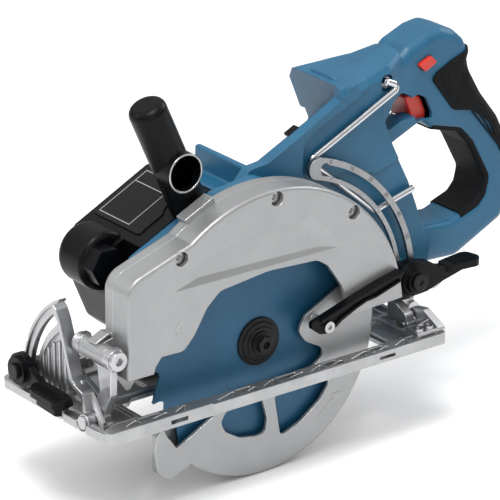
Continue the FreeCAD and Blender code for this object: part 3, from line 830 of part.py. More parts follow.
rimw = ycyl(0, SP_Z, LOW_R, LOW_Y0, LOW_Y1).cut(ycyl(0, SP_Z, LOW_R - 2.6, LOW_Y0 - 1, LOW_Y1 + 1)).common(sector_xz(a_rear, a_front, LOW_R, LOW_Y0 - 1, LOW_Y1 + 1))
rimw = rimw.cut(box(-120, -80, 40, 60, 55, 90))
web = ycyl(0, SP_Z, LOW_R, LOW_Y0, LOW_Y0 + 2.0).common(sector_xz(a_rear, a_front, LOW_R, LOW_Y0 - 1, LOW_Y0 + 3)).fuse(ycyl(0, SP_Z, 30.0, LOW_Y0, LOW_Y0 + 2.0))
web = web.removeSplitter()
nosep = prism([(86, -11, 2), (90.5, -16, 4), (92.5, -28, 10), (90.5, -42, 4), (87, -46, 3), (80, -51, 3), (74, -48.5, 6), (60, -44, 6), (66, -34, 0), (76, -30, 2)], "xz", LOW_Y0, LOW_Y1)
nosep = nosep.cut([ycyl(0, SP_Z, LOW_R - 2.6, LOW_Y0 + 2.0, OUT0), prism([(93.6, 41.5, 0), (92.0, 39.0, 0), (83.5, 28.0, 0), (120, 28.0, 0), (120, 41.5, 0)], "xy", -70, 0)])
lg = fuse(face, rimw, web, nosep)
lg = soften_each(lg, 1.6, lambda e: abs(e.BoundBox.YMin - LOW_Y1) < 1e-3 and abs(e.BoundBox.YMax - LOW_Y1) < 1e-3 and e.CenterOfMass.z < -20 and e.Length > 60)
win = [prism([(-62, -10, 5), (-50, -26, 14), (-33, -38, 20), (-18, -43.5, 6), (-14.5, -42, 2), (-9.5, -12, 3)], "xz", OUT0 - 1, LOW_Y1 + 2),
       prism([(1, -11, 3), (-3.5, -28, 6), (-2, -38, 6), (6, -38.5, 10), (20, -36, 10), (33, -28, 8), (37, -20, 6), (32, -13, 5), (18, -10, 6)], "xz", OUT0 - 1, LOW_Y1 + 2)]
lg = lg.cut(win)
lg = lg.cut(ycyl(0, SP_Z, 22.0, 20, 45))
# raised arrow and the post that carries the lever
arrow2 = prism([(-50, -42), (-64, -29), (-66, -31.4), (-66.6, -24), (-59.5, -24.6), (-61.9, -27), (-48.2, -40.2)], "xz", LOW_Y1 - 0.3, LOW_Y1 + 0.5)
LPX, LPZ = -44.5, 36.0
lg = fuse(lg, arrow2, ycyl(LPX, LPZ, 4.0, OUT0, 54.5))
lg = lg.cut(ycyl(LPX, LPZ, 1.9, 45, 60))
keep("lower_guard", lg)
LY = 54.5
la = prism([(-30.5, 37.5, 2), (-30.5, 42.0, 2), (-36, 43.4, 3), (-64.0, 51.6, 12), (-90.5, 58.6, 14), (-109.0, 62.4, 3), (-112, 57.5, 3), (-108.0, 54.0, 4), (-86.2, 47.6, 12), (-77.3, 46.6, 10),
            (-68.5, 43.6, 10), (-56.2, 38.2, 6), (-49.4, 33.6, 5), (-43.0, 30.8, 4), (-37.8, 31.6, 4)], "xz", LY, LY + 3.7)
lip1 = prism([(-36, 43.4, 2), (-64.0, 51.6, 12), (-90.5, 58.6, 14), (-109.0, 62.4, 2), (-109.6, 60.2, 1), (-90.5, 56.2, 14), (-64.0, 49.2, 12), (-37, 41.2, 1)], "xz", LY, LY + 7.3)
rib_l = prism([(-49.4, 33.6, 1), (-56.2, 38.2, 6), (-68.5, 43.6, 10), (-77.3, 46.6, 10), (-86.2, 47.6, 12), (-108.0, 54.0, 2), (-108.4, 55.8, 1), (-86.2, 49.4, 12), (-77.0, 48.4, 10), (-68.0, 45.4, 10), (-55.0, 40.2, 6), (-49.4, 36.4, 1)], "xz", LY, LY + 5.4)
bumps = [ycyl(-62 - i * 6.2, 53.2 + i * 1.62, 1.0, LY + 5.0, LY + 8.0).common(ycyl(-62 - i * 6.2, 53.2 + i * 1.62, 1.0, LY, LY + 7.8)) for i in range(0)]
la = fuse(la, lip1, rib_l, *bumps).cut([ycyl(LPX, LPZ, 1.96, 50, 70), ycyl(LPX, LPZ, 4.6, LY + 3.7, 80)])
keep("guard_lever", la)
keep("guard_lever_screw", fuse(ycyl(LPX, LPZ, 1.85, 46.0, LY + 3.7), ycyl(LPX, LPZ, 4.2, LY + 3.7, LY + 6.2)).cut(hexagon(LPX, LPZ, 2.0, LY + 4.8, 65)))

# ---- return spring of the lower guard, coiled round the nose
keep("guard_spring", Part.makeTorus(22.9, 0.42, V(0, 28.95, SP_Z), V(0, 1, 0)))

# ---- spindle lock button on the gear housing's front
keep("spindle_lock_button", fuse(ycyl(80.0, 82.5, 8.6, -12.0, -4.5), ycyl(80.0, 82.5, 4.0, -14.5, -12.0)))
NODES["motor_housing"] = NODES["motor_housing"].cut([ycyl(80.0, 82.5, 9.0, -15.6, 11), ycyl(80.0, 82.5, 4.3, -20.0, -12.0)])
keep("motor_housing", NODES["motor_housing"])

# ================================================================ electronics
cm = prism([(-64, 46, 3), (-118, 52, 3), (-118, 92, 3), (-64, 70, 3)], "xz", -50, -16)
cm = cm.cut([NL, NR, NODES["shell_screws"]])
keep("control_module", big(cm))
sw = prism([(-192, 158, 2), (-207, 158, 2), (-212, 146, 3), (-206, 138.0, 2), (-201, 142, 2), (-196, 152, 2)], "xz", SPLIT_Y - 8, SPLIT_Y + 8).cut([tpocket, NL, NR])
keep("trigger_switch", big(sw))
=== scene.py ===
import bpy, bmesh, json, math
from mathutils import Vector, Matrix, Quaternion, noise


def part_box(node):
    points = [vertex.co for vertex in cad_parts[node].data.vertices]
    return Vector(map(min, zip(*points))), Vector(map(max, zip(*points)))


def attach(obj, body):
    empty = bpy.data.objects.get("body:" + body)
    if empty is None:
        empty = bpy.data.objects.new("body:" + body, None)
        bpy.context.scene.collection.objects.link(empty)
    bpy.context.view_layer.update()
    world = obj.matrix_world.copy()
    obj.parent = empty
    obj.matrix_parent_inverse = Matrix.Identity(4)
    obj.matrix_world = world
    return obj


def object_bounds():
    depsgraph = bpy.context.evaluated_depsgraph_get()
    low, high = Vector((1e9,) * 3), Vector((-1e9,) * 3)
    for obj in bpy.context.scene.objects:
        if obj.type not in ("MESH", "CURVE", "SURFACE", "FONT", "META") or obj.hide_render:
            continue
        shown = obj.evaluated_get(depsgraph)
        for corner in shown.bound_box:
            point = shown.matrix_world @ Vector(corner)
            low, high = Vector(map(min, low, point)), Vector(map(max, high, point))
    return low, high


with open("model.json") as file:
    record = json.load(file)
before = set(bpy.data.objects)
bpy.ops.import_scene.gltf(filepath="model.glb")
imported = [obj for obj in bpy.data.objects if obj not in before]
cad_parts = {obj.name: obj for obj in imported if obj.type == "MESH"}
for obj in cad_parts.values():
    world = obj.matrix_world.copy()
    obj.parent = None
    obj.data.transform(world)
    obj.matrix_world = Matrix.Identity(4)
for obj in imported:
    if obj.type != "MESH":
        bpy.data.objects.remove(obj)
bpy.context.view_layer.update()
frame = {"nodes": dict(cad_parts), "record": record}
NODES = frame["nodes"]
BODY = {n: b for b, ns in frame["record"]["behaviour"]["bodies"].items() for n in ns}
SLOT = {s["node"]: s["material_slot"] for s in frame["record"]["subparts"]}
MM = 0.001
SPIN = Vector((0.0, 0.036, 0.0295))          # spindle line, along Y
scene = bpy.context.scene


# ------------------------------------------------------------------ materials
class NT:
    """Small helper round a node tree."""

    def __init__(self, name):
        self.m = bpy.data.materials.new(name)
        self.m.use_nodes = True
        self.t = self.m.node_tree
        self.t.nodes.clear()
        self.out = self.n("ShaderNodeOutputMaterial")
        self.b = self.n("ShaderNodeBsdfPrincipled")
        self.l(self.b.outputs[0], self.out.inputs[0])
        self.tc = self.n("ShaderNodeTexCoord")

    def n(self, kind, **kw):
        x = self.t.nodes.new(kind)
        for k, v in kw.items():
            setattr(x, k, v)
        return x

    def l(self, a, b):
        self.t.links.new(a, b)

    def noise(self, scale, detail=4.0, rough=0.55, src=None, dist=0.0):
        x = self.n("ShaderNodeTexNoise")
        x.inputs["Scale"].default_value = scale
        x.inputs["Detail"].default_value = detail
        x.inputs["Roughness"].default_value = rough
        x.inputs["Distortion"].default_value = dist
        self.l(src or self.tc.outputs["Object"], x.inputs["Vector"])
        return x.outputs["Fac"]

    def voronoi(self, scale, feature="F1", src=None, rnd=1.0):
        x = self.n("ShaderNodeTexVoronoi", feature=feature)
        x.inputs["Scale"].default_value = scale
        x.inputs["Randomness"].default_value = rnd
        self.l(src or self.tc.outputs["Object"], x.inputs["Vector"])
        return x.outputs["Distance"]

    def ramp(self, fac, stops):
        x = self.n("ShaderNodeValToRGB")
        e = x.color_ramp.elements
        while len(e) > len(stops):
            e.remove(e[-1])
        while len(e) < len(stops):
            e.new(0.5)
        for i, (p, c) in enumerate(stops):
            e[i].position = p
            e[i].color = (c, c, c, 1) if isinstance(c, (int, float)) else (*c, 1)
        self.l(fac, x.inputs[0])
        return x.outputs[0]

    def math(self, op, a, b=None, clamp=False):
        x = self.n("ShaderNodeMath", operation=op, use_clamp=clamp)
        for i, v in enumerate((a, b)):
            if v is None:
                continue
            if isinstance(v, (int, float)):
                x.inputs[i].default_value = v
            else:
                self.l(v, x.inputs[i])
        return x.outputs[0]

    def mix(self, fac, a, b):
        x = self.n("ShaderNodeMix", data_type="RGBA")
        if isinstance(fac, (int, float)):
            x.inputs[0].default_value = fac
        else:
            self.l(fac, x.inputs[0])
        for i, v in ((6, a), (7, b)):
            if isinstance(v, (tuple, list)):
                x.inputs[i].default_value = (*v, 1)
            else:
                self.l(v, x.inputs[i])
        return x.outputs[2]

    def edge(self, r=0.0008):
        """0 on flats, towards 1 on sharp edges; works on any mesh."""
        bv = self.n("ShaderNodeBevel", samples=4)
        bv.inputs["Radius"].default_value = r
        g = self.n("ShaderNodeNewGeometry")
        d = self.n("ShaderNodeVectorMath", operation="DOT_PRODUCT")
        self.l(bv.outputs[0], d.inputs[0])
        self.l(g.outputs["Normal"], d.inputs[1])
        return bv.outputs[0], self.ramp(d.outputs["Value"], [(0.86, 1.0), (0.985, 0.0)])

    def bump(self, height, strength, dist, normal=None):
        x = self.n("ShaderNodeBump")
        x.inputs["Strength"].default_value = strength
        x.inputs["Distance"].default_value = dist
        self.l(height, x.inputs["Height"])
        if normal is not None:
            self.l(normal, x.inputs["Normal"])
        return x.outputs[0]


def finish_mat(nt, color, rough, metal, normal, coat=0.0, coat_r=0.2, spec=0.5):
    b = nt.b
    for key, v in (("Base Color", color), ("Roughness", rough), ("Metallic", metal), ("Normal", normal)):
        if v is None:
            continue
        if isinstance(v, (int, float)):
            b.inputs[key].default_value = v
        elif isinstance(v, (tuple, list)):
            b.inputs[key].default_value = (*v, 1)
        else:
            nt.l(v, b.inputs[key])
    b.inputs["Coat Weight"].default_value = coat
    b.inputs["Coat Roughness"].default_value = coat_r
    b.inputs["Specular IOR Level"].default_value = spec
    return nt.m


def mat_plastic(name, base, dark, rough=0.42, tex=2600.0, tex_s=0.35, wear=0.25, wear_col=None, bevel=0.0009, spec=0.5):
    nt = NT(name)
    nrm, edge = nt.edge(bevel)
    cloud = nt.noise(26.0, 5.0, 0.6)
    c = nt.mix(nt.ramp(cloud, [(0.35, 0.0), (0.7, 1.0)]), dark, base)
    wc = wear_col or tuple(min(1.0, v * 1.5 + 0.015) for v in base)
    spot = nt.noise(180.0, 6.0, 0.7)
    wmask = nt.math("MULTIPLY", edge, nt.math("MULTIPLY", nt.ramp(spot, [(0.42, 0.0), (0.68, 1.0)]), wear))
    c = nt.mix(wmask, c, wc)
    grain = nt.voronoi(tex, "SMOOTH_F1")
    fine = nt.noise(tex * 0.6, 3.0, 0.6)
    h = nt.math("ADD", grain, fine)
    n1 = nt.bump(h, tex_s, 0.00012, nrm)
    r = nt.math("ADD", nt.math("MULTIPLY", nt.noise(60.0, 6.0, 0.65), 0.16), rough - 0.08)
    r = nt.math("SUBTRACT", r, nt.math("MULTIPLY", wmask, 0.12), clamp=True)
    return finish_mat(nt, c, r, 0.0, n1, spec=spec)


def mat_cast(name, base, rough=0.38, metal=0.85, pit=0.5, wave=0.0, bevel=0.0011, bright=(0.86, 0.87, 0.88), wear=0.6, grain_scale=1500.0, mottle=0.12, spec=0.5):
    nt = NT(name)
    nrm, edge = nt.edge(bevel)
    lo = tuple(v * (1 - mottle) for v in base)
    hi = tuple(min(1, v * (1 + mottle)) for v in base)
    c = nt.mix(nt.ramp(nt.noise(38.0, 6.0, 0.62), [(0.3, 0.0), (0.72, 1.0)]), lo, hi)
    speck = nt.ramp(nt.noise(grain_scale * 0.9, 2.0, 0.5), [(0.36, 0.0), (0.64, 1.0)])
    c = nt.mix(nt.math("MULTIPLY", speck, 0.22), c, tuple(v * 0.72 for v in base))
    # every sharp edge is lightened evenly towards `bright`: a painted edge highlight together with edge wear; the same
    # mask also lowers roughness there
    edge_wear_highlight = nt.math("MULTIPLY", edge, wear, clamp=True)
    c = nt.mix(edge_wear_highlight, c, bright)
    h = nt.math("ADD", nt.math("MULTIPLY", nt.noise(grain_scale, 3.0, 0.6), 0.9), nt.math("MULTIPLY", nt.voronoi(grain_scale * 0.55, "SMOOTH_F1"), 0.5))
    n1 = nt.bump(h, pit, 0.00010, nrm)
    if wave:
        n1 = nt.bump(nt.noise(55.0, 3.0, 0.5), wave, 0.0012, n1)
    r = nt.math("ADD", nt.math("MULTIPLY", nt.noise(90.0, 6.0, 0.7), 0.2), rough - 0.10)
    r = nt.math("SUBTRACT", r, nt.math("MULTIPLY", edge_wear_highlight, 0.14), clamp=True)
    return finish_mat(nt, c, r, metal, n1, spec=spec)


def mat_steel(name, base, rough=0.25, axis="Y", lines=2600.0, strength=0.25, metal=1.0, bevel=0.0005):
    """Turned or brushed bright metal: fine lines drawn out along one axis."""
    nt = NT(name)
    nrm, edge = nt.edge(bevel)
    mp = nt.n("ShaderNodeMapping")
    sc = {"X": (0.04, 1, 1), "Y": (1, 0.04, 1), "Z": (1, 1, 0.04)}[axis]
    mp.inputs["Scale"].default_value = sc
    nt.l(nt.tc.outputs["Object"], mp.inputs["Vector"])
    ln = nt.noise(lines, 3.0, 0.6, src=mp.outputs[0])
    n1 = nt.bump(ln, strength, 0.00006, nrm)
    c = nt.mix(nt.ramp(nt.noise(70.0, 5.0, 0.6), [(0.35, 0.0), (0.7, 1.0)]), tuple(v * 0.86 for v in base), base)
    # painted highlight: every sharp edge is lightened towards near white
    c = nt.mix(nt.math("MULTIPLY", edge, 0.4), c, (0.92, 0.92, 0.93))
    r = nt.math("ADD", nt.math("MULTIPLY", ln, 0.18), rough - 0.06, clamp=True)
    return finish_mat(nt, c, r, metal, n1)


def mat_blade(name):
    """Blue low-friction coating over ground steel: faint turning rings about the arbor."""
    nt = NT(name)
    nrm, edge = nt.edge(0.0004)
    sub = nt.n("ShaderNodeVectorMath", operation="SUBTRACT")
    sub.inputs[1].default_value = (0.0, 0.0, SPIN.z)
    nt.l(nt.tc.outputs["Object"], sub.inputs[0])
    flat = nt.n("ShaderNodeVectorMath", operation="MULTIPLY")
    flat.inputs[1].default_value = (1.0, 0.0, 1.0)
    nt.l(sub.outputs[0], flat.inputs[0])
    ln = nt.n("ShaderNodeVectorMath", operation="LENGTH")
    nt.l(flat.outputs[0], ln.inputs[0])
    comb = nt.n("ShaderNodeCombineXYZ")
    nt.l(ln.outputs["Value"], comb.inputs[0])
    rings = nt.noise(1900.0, 2.0, 0.6, src=comb.outputs[0])
    broad = nt.noise(140.0, 2.0, 0.5, src=comb.outputs[0])
    c = nt.mix(nt.ramp(nt.noise(34.0, 5.0, 0.6), [(0.3, 0.0), (0.75, 1.0)]), (0.008, 0.066, 0.132), (0.011, 0.086, 0.168))
    c = nt.mix(nt.math("MULTIPLY", nt.ramp(rings, [(0.45, 0.0), (0.75, 1.0)]), 0.10), c, (0.03, 0.15, 0.27))
    # bare, polished steel at the toothed rim
    tip = nt.ramp(nt.math("MULTIPLY", ln.outputs["Value"], 10.0), [(0.898, 0.0), (0.912, 1.0)])
    wear = nt.math("MULTIPLY", tip, nt.ramp(nt.noise(400.0, 4.0, 0.7), [(0.5, 0.0), (0.8, 0.5)]), clamp=True)
    c = nt.mix(wear, c, (0.34, 0.37, 0.40))
    n1 = nt.bump(nt.math("ADD", rings, nt.math("MULTIPLY", broad, 0.5)), 0.12, 0.00005, nrm)
    r = nt.math("ADD", nt.math("MULTIPLY", rings, 0.12), 0.34)
    m = nt.math("ADD", nt.math("MULTIPLY", wear, 0.6), 0.25, clamp=True)
    return finish_mat(nt, c, r, m, n1)


def mat_rubber(name):
    nt = NT(name)
    nrm, edge = nt.edge(0.0008)
    dots = nt.voronoi(560.0, "F1", rnd=0.15)
    d = nt.ramp(dots, [(0.18, 1.0), (0.42, 0.0)])
    fine = nt.noise(2600.0, 3.0, 0.7)
    h = nt.math("ADD", nt.math("MULTIPLY", d, 0.9), nt.math("MULTIPLY", fine, 0.35))
    n1 = nt.bump(h, 0.5, 0.00022, nrm)
    c = nt.mix(nt.ramp(nt.noise(30.0, 5.0, 0.6), [(0.3, 0.0), (0.75, 1.0)]), (0.0035, 0.0038, 0.0044), (0.0075, 0.008, 0.009))
    # painted highlight: every sharp edge is lightened towards dark grey, as a sheen
    c = nt.mix(nt.math("MULTIPLY", edge, 0.35), c, (0.03, 0.032, 0.035))
    r = nt.math("ADD", nt.math("MULTIPLY", nt.noise(80.0, 4.0, 0.6), 0.14), 0.58)
    return finish_mat(nt, c, r, 0.0, n1, spec=0.12)


MAT = {
    "cast_base": mat_cast("cast_base", (0.44, 0.445, 0.45), rough=0.42, metal=0.95, pit=0.24, wave=0.16, wear=0.7, mottle=0.16, bright=(0.72, 0.73, 0.74)),
    "cast_bright": mat_cast("cast_bright", (0.47, 0.475, 0.485), rough=0.36, metal=0.98, pit=0.16, wave=0.18, wear=0.75, mottle=0.12, bright=(0.80, 0.81, 0.82)),
    "cast_guard": mat_cast("cast_guard", (0.36, 0.365, 0.37), rough=0.40, metal=0.72, pit=0.34, wear=0.55, mottle=0.05, bright=(0.78, 0.79, 0.80)),
    "bracket_steel": mat_steel("bracket_steel", (0.33, 0.335, 0.345), 0.36, "Z", 1800.0),
    "bright_steel": mat_steel("bright_steel", (0.50, 0.50, 0.51), 0.26, "Y"),
    "chrome_rod": mat_steel("chrome_rod", (0.62, 0.63, 0.65), 0.12, "X", 900.0, 0.05),
    "black_steel": mat_cast("black_steel", (0.006, 0.0064, 0.0072), rough=0.33, metal=0.05, pit=0.2, wear=0.25, bright=(0.06, 0.06, 0.066), mottle=0.2, spec=0.2),
    "blade_coat": mat_blade("blade_coat"),
    "blue_plastic": mat_plastic("blue_plastic", (0.012, 0.104, 0.196), (0.009, 0.086, 0.166), rough=0.42, tex=2300.0, tex_s=0.2, wear=0.3, wear_col=(0.06, 0.22, 0.34), spec=0.42),
    "black_plastic": mat_plastic("black_plastic", (0.0026, 0.0029, 0.0036), (0.0016, 0.0019, 0.0024), rough=0.36, tex=2400.0, tex_s=0.24, wear=0.3, wear_col=(0.022, 0.024, 0.027), spec=0.13),
    "plate_label": mat_plastic("plate_label", (0.006, 0.0062, 0.007), (0.004, 0.004, 0.005), rough=0.3, tex=900.0, tex_s=0.06, wear=0.2, spec=0.16),
    "grip_rubber": mat_rubber("grip_rubber"),
    "red_plastic": mat_plastic("red_plastic", (0.56, 0.032, 0.018), (0.46, 0.024, 0.014), rough=0.36, tex=2600.0, tex_s=0.14, wear=0.35),
    "terminal_mix": mat_plastic("terminal_mix", (0.03, 0.03, 0.032), (0.02, 0.02, 0.02), rough=0.4),
    "motor_iron": mat_cast("motor_iron", (0.30, 0.29, 0.28), rough=0.5, metal=0.9, pit=0.6),
}
for name, o in NODES.items():
    m = MAT[SLOT[name]]
    o.data.materials.clear()
    o.data.materials.append(m)


# ------------------------------------------------------------------ detail pieces
from mathutils.bvhtree import BVHTree


def add_piece(name, bm, slot, body, smooth=True, mat=None):
    bmesh.ops.remove_doubles(bm, verts=bm.verts, dist=1e-7)
    bmesh.ops.recalc_face_normals(bm, faces=bm.faces)
    me_ = bpy.data.meshes.new(name)
    bm.to_mesh(me_)
    bm.free()
    for f in me_.polygons:
        f.use_smooth = smooth
    o_ = bpy.data.objects.new(name, me_)
    scene.collection.objects.link(o_)
    me_.materials.append(mat or MAT[slot])
    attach(o_, body)
    return o_


def bvh_of(*names):
    vs, fs = [], []
    for n_ in names:
        m_ = NODES[n_].data
        k = len(vs)
        vs += [v.co.copy() for v in m_.vertices]
        fs += [tuple(k + q for q in f.vertices) for f in m_.polygons]
    return BVHTree.FromPolygons(vs, fs)


def tube(bm, pts, r, closed=False, seg=10, flat=None):
    """Round bead along points; ends are domed shut."""
    n = len(pts)
    rings = []
    for i, p in enumerate(pts):
        a = pts[(i - 1) % n] if (closed or i) else p
        b = pts[(i + 1) % n] if (closed or i < n - 1) else p
        d = (b - a).normalized()
        ref = flat or (Vector((0, 1, 0)) if abs(d.y) < 0.9 else Vector((1, 0, 0)))
        u = d.cross(ref).normalized()
        w = u.cross(d).normalized()
        rr = r
        if not closed and (i == 0 or i == n - 1):
            rr = r * 0.45
        rings.append([bm.verts.new(p + u * rr * math.cos(2 * math.pi * k / seg) + w * rr * math.sin(2 * math.pi * k / seg)) for k in range(seg)])
    m = n if closed else n - 1
    for i in range(m):
        A, B = rings[i], rings[(i + 1) % n]
        for k in range(seg):
            bm.faces.new((A[k], A[(k + 1) % seg], B[(k + 1) % seg], B[k]))
    if not closed:
        bm.faces.new(list(reversed(rings[0])))
        bm.faces.new(rings[-1])


def lathe(bm, centre, prof, seg=96, axis="Y"):
    """Closed profile of (radius, height) turned round an axis through centre."""
    rings = []
    for i in range(seg):
        a = 2 * math.pi * i / seg
        c, s_ = math.cos(a), math.sin(a)
        row = []
        for r_, h_ in prof:
            if axis == "Y":
                v = Vector((centre[0] + r_ * c, centre[1] + h_, centre[2] + r_ * s_))
            else:
                v = Vector((centre[0] + h_, centre[1] + r_ * c, centre[2] + r_ * s_))
            row.append(bm.verts.new(v))
        rings.append(row)
    m = len(prof)
    for i in range(seg):
        A, B = rings[i], rings[(i + 1) % seg]
        for k in range(m):
            bm.faces.new((A[k], A[(k + 1) % m], B[(k + 1) % m], B[k]))


def plate_prism(bm, loop, n, t):
    """Thin prism over a planar loop, n is the direction it rises."""
    a = [bm.verts.new(p) for p in loop]
    b = [bm.verts.new(p + n * t) for p in loop]
    bm.faces.new(list(reversed(a)))
    bm.faces.new(b)
    for i in range(len(a)):
        j_ = (i + 1) % len(a)
        bm.faces.new((a[i], a[j_], b[j_], b[i]))


# thin pale frame round the blank plate on the motor housing
ANG = math.atan2(137.8 - 112, 75 - 22)
ca, sa = math.cos(ANG), math.sin(ANG)


def on_plate(x, y, z):
    return Vector(((26 + x * ca + z * sa) * MM, (-54 + y) * MM, (135.87 - x * sa + z * ca) * MM))


nrm_pl = Vector((sa, 0, ca))
pale = NT("plate_line")
finish_mat(pale, pale.mix(pale.noise(400.0, 4.0), (0.30, 0.30, 0.30), (0.36, 0.36, 0.36)), pale.math("ADD", pale.math("MULTIPLY", pale.noise(900.0), 0.2), 0.3), 0.3, None)
bm = bmesh.new()
x0, x1, y0, y1, w = 3.0, 48.5, 3.0, 38.0, 0.7
for (a0, a1, b0, b1) in ((x0, x1, y0, y0 + w), (x0, x1, y1 - w, y1), (x0, x0 + w, y0 + w, y1 - w), (x1 - w, x1, y0 + w, y1 - w), (x0 + 11, x0 + 11 + w, y0 + w, y1 - w)):
    plate_prism(bm, [on_plate(a0, b0, 0.78), on_plate(a1, b0, 0.78), on_plate(a1, b1, 0.78), on_plate(a0, b1, 0.78)], nrm_pl, 0.00012)
add_piece("plate_frame_line", bm, "plate_label", "saw_body", smooth=False, mat=pale.m)

# bright rim ring of the round side port
bm = bmesh.new()
lathe(bm, (0.0515156, 0.0246, 0.1607335), [(0.01255, -0.0010), (0.01255, 0.0002), (0.0128, 0.00045), (0.0134, 0.0005), (0.01385, 0.0003), (0.0140, -0.0001), (0.0137, -0.0003)], 96)
add_piece("side_port_rim", bm, "bright_steel", "saw_body")

# numerals on the depth scale
ink = NT("scale_ink")
finish_mat(ink, ink.mix(ink.noise(800.0, 4.0), (0.03, 0.03, 0.032), (0.06, 0.06, 0.062)), ink.math("ADD", ink.math("MULTIPLY", ink.noise(1200.0), 0.2), 0.45), 0.0, None, spec=0.3)
y_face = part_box("depth_bracket")[1][1]
cx, cz, rm = -42.1, 28.4, 113.8
deg0 = math.degrees(math.atan2(34.0 - cz, -149.0 - cx)) % 360
deg1 = math.degrees(math.atan2(130.9 - cz, -76.4 - cx)) % 360
total = bmesh.new()
for k, lab in enumerate(("60", "50", "40", "30", "20", "10", "0")):
    a = math.radians(deg0 - 4.5 - (deg0 - deg1 - 6.0) * k / 6.0)
    cu = bpy.data.curves.new("num", "FONT")
    cu.body = lab
    cu.size = 0.0043
    cu.extrude = 0.00004
    cu.align_x = "CENTER"
    cu.align_y = "CENTER"
    tmp = bpy.data.objects.new("num", cu)
    scene.collection.objects.link(tmp)
    dg = bpy.context.evaluated_depsgraph_get()
    m_ = bpy.data.meshes.new_from_object(tmp.evaluated_get(dg))
    # text reads across the band: its up points outwards from the arc's centre
    up = Vector((math.cos(a), 0, math.sin(a)))
    out = Vector((0, 1, 0))
    right = up.cross(out).normalized() * -1.0
    if right.cross(up).dot(out) < 0:
        right = -right
    org = Vector(((cx + rm * math.cos(a)) * MM, y_face + 0.00003, (cz + rm * math.sin(a)) * MM))
    M = Matrix((( right.x, up.x, out.x, org.x), (right.y, up.y, out.y, org.y), (right.z, up.z, out.z, org.z), (0, 0, 0, 1)))
    m_.transform(M)
    total.from_mesh(m_)
    bpy.data.objects.remove(tmp, do_unlink=True)
    bpy.data.curves.remove(cu)
    bpy.data.meshes.remove(m_)
me_ = bpy.data.meshes.new("depth_numerals")
total.to_mesh(me_)
total.free()
o_ = bpy.data.objects.new("depth_numerals", me_)
scene.collection.objects.link(o_)
me_.materials.append(ink.m)
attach(o_, "depth_bracket")

# nested ridges on both sides of the grip cover, following its surface
patch = [(-195, 172), (-206, 178), (-218, 176), (-221, 168), (-219, 159), (-231, 142), (-245, 122), (-253, 106), (-248, 103), (-237, 121), (-222, 139), (-207, 146), (-199, 158)]


def smooth_loop(pts, inset, n=6):
    c = Vector((sum(p[0] for p in pts) / len(pts), sum(p[1] for p in pts) / len(pts)))
    q = []
    m = len(pts)
    area2 = sum(pts[i][0] * pts[(i + 1) % m][1] - pts[(i + 1) % m][0] * pts[i][1] for i in range(m))
    sg = 1.0 if area2 > 0 else -1.0
    for i in range(m):
        a, b, d = Vector(pts[i - 1]), Vector(pts[i]), Vector(pts[(i + 1) % m])
        e1, e2 = (b - a).normalized(), (d - b).normalized()
        n1, n2 = Vector((-e1.y, e1.x)) * sg, Vector((-e2.y, e2.x)) * sg
        bis = (n1 + n2)
        bis = bis.normalized() / max(0.55, math.sqrt(max(0.0, (1 + n1.dot(n2)) / 2)))
        q.append(b + bis * inset)
    out = []
    for i in range(m):
        p0, p1, p2, p3 = q[i - 1], q[i], q[(i + 1) % m], q[(i + 2) % m]
        for k in range(n):
            t = k / n
            out.append(0.5 * ((2 * p1) + (-p0 + p2) * t + (2 * p0 - 5 * p1 + 4 * p2 - p3) * t * t + (-p0 + 3 * p1 - 3 * p2 + p3) * t * t * t))
    return out


tree = bvh_of("grip_cover")
bm = bmesh.new()
for side in (1, -1):
    for inset in (0.0, 2.6, 5.2):
        pts = []
        for p in smooth_loop(patch, inset):
            hit = tree.ray_cast(Vector((p.x * MM, 0.1 * side, p.y * MM)), Vector((0, -side, 0)))
            if hit[0] is not None and abs(hit[1].y) > 0.5:
                pts.append(hit[0] - Vector((0, side * 0.00022, 0)))
        if len(pts) > 30:
            tube(bm, pts, 0.00062, closed=True, seg=8)
if len(bm.verts):
    add_piece("grip_ridges", bm, "grip_rubber", "saw_body")
else:
    bm.free()

# fine raised dots along the upper lip of the guard lever's finger pad
bm = bmesh.new()
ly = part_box("guard_lever")[1][1]
for i in range(9):
    t = i / 8.0
    x_, z_ = -58 - 44 * t, 50.3 + 10.3 * t + 0.8 * math.sin(math.pi * t)
    lathe(bm, (x_ * MM, ly - 0.0001, z_ * MM), [(0.00002, 0.0), (0.0006, 0.0), (0.00058, 0.0003), (0.0004, 0.0005), (0.00002, 0.00058)], 20)
add_piece("lever_dots", bm, "black_plastic", "lower_guard")


# ------------------------------------------------------------------ studio
def area(name, loc, target, size, power, size_y=None, color=(1, 1, 1)):
    d = bpy.data.lights.new(name, "AREA")
    d.energy = power
    d.size = size
    if size_y:
        d.shape = "RECTANGLE"
        d.size_y = size_y
    d.color = color
    o = bpy.data.objects.new(name, d)
    o.location = loc
    o.rotation_euler = (Vector(target) - Vector(loc)).to_track_quat("-Z", "Y").to_euler()
    scene.collection.objects.link(o)
    return o


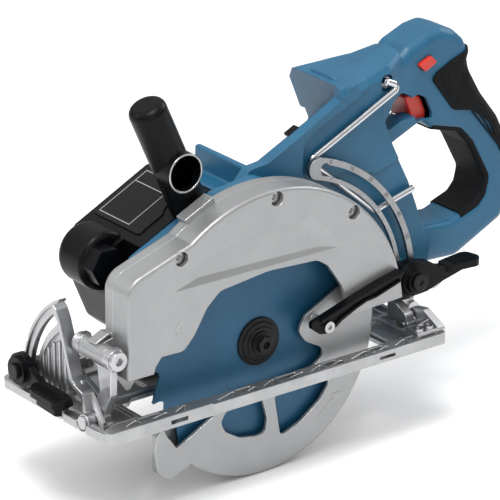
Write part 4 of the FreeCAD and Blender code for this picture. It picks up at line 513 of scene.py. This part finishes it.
lo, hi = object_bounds()
floor_z = lo[2] - 0.0004
me = bpy.data.meshes.new("floor")
bm = bmesh.new()
bmesh.ops.create_grid(bm, x_segments=2, y_segments=2, size=6.0)
bm.to_mesh(me)
bm.free()
floor = bpy.data.objects.new("floor", me)
floor.location = (0, 0, floor_z)
scene.collection.objects.link(floor)
nt = NT("floor_pale")
fc = nt.mix(nt.noise(3.0, 2.0), (0.88, 0.88, 0.885), (0.90, 0.90, 0.90))
finish_mat(nt, fc, 0.6, 0.0, None, spec=0.2)
me.materials.append(nt.m)

world = bpy.data.worlds.new("studio")
world.use_nodes = True
wt = world.node_tree
bg = wt.nodes["Background"]
wtc = wt.nodes.new("ShaderNodeTexCoord")
wsep = wt.nodes.new("ShaderNodeSeparateXYZ")
wt.links.new(wtc.outputs["Generated"], wsep.inputs[0])
wmap = wt.nodes.new("ShaderNodeMapRange")
wmap.inputs["From Min"].default_value = -1.0
wmap.inputs["From Max"].default_value = 1.0
wt.links.new(wsep.outputs["Z"], wmap.inputs["Value"])
wr = wt.nodes.new("ShaderNodeValToRGB")
for p_, c_ in ((0.47, 0.20), (0.60, 0.28), (0.74, 0.62)):
    wr.color_ramp.elements.new(p_).color = (c_, c_, c_, 1)
wr.color_ramp.elements[0].color = (0.16, 0.16, 0.16, 1)
wr.color_ramp.elements[-1].color = (1.0, 1.0, 1.0, 1)
wt.links.new(wmap.outputs[0], wr.inputs[0])
wt.links.new(wr.outputs[0], bg.inputs[0])
bg.inputs[1].default_value = 1.15
scene.world = world
scene.view_settings.view_transform = "Standard"
scene.view_settings.look = "None"
C = (0.0, 0.02, 0.08)
area("key", (0.55, 0.45, 1.8), C, 0.75, 27.0)
area("fill", (0.9, 2.0, 0.75), C, 0.6, 5.0)
area("rim", (-1.4, 0.1, 1.0), C, 0.6, 7.0)
area("front_strip", (1.1, -0.7, 0.8), C, 0.22, 4.0, 1.2)

cam_d = bpy.data.cameras.new("camera")
cam_d.sensor_width = 36.0
cam_d.lens = 292.5
cam_d.clip_end = 20.0
cam = bpy.data.objects.new("camera", cam_d)
cam.location = (1.56048, 2.07585, 1.12998)
tgt = Vector((0.00607, 0.036, 0.09802))
cam.rotation_euler = (tgt - cam.location).to_track_quat("-Z", "Y").to_euler()
scene.collection.objects.link(cam)
scene.camera = cam
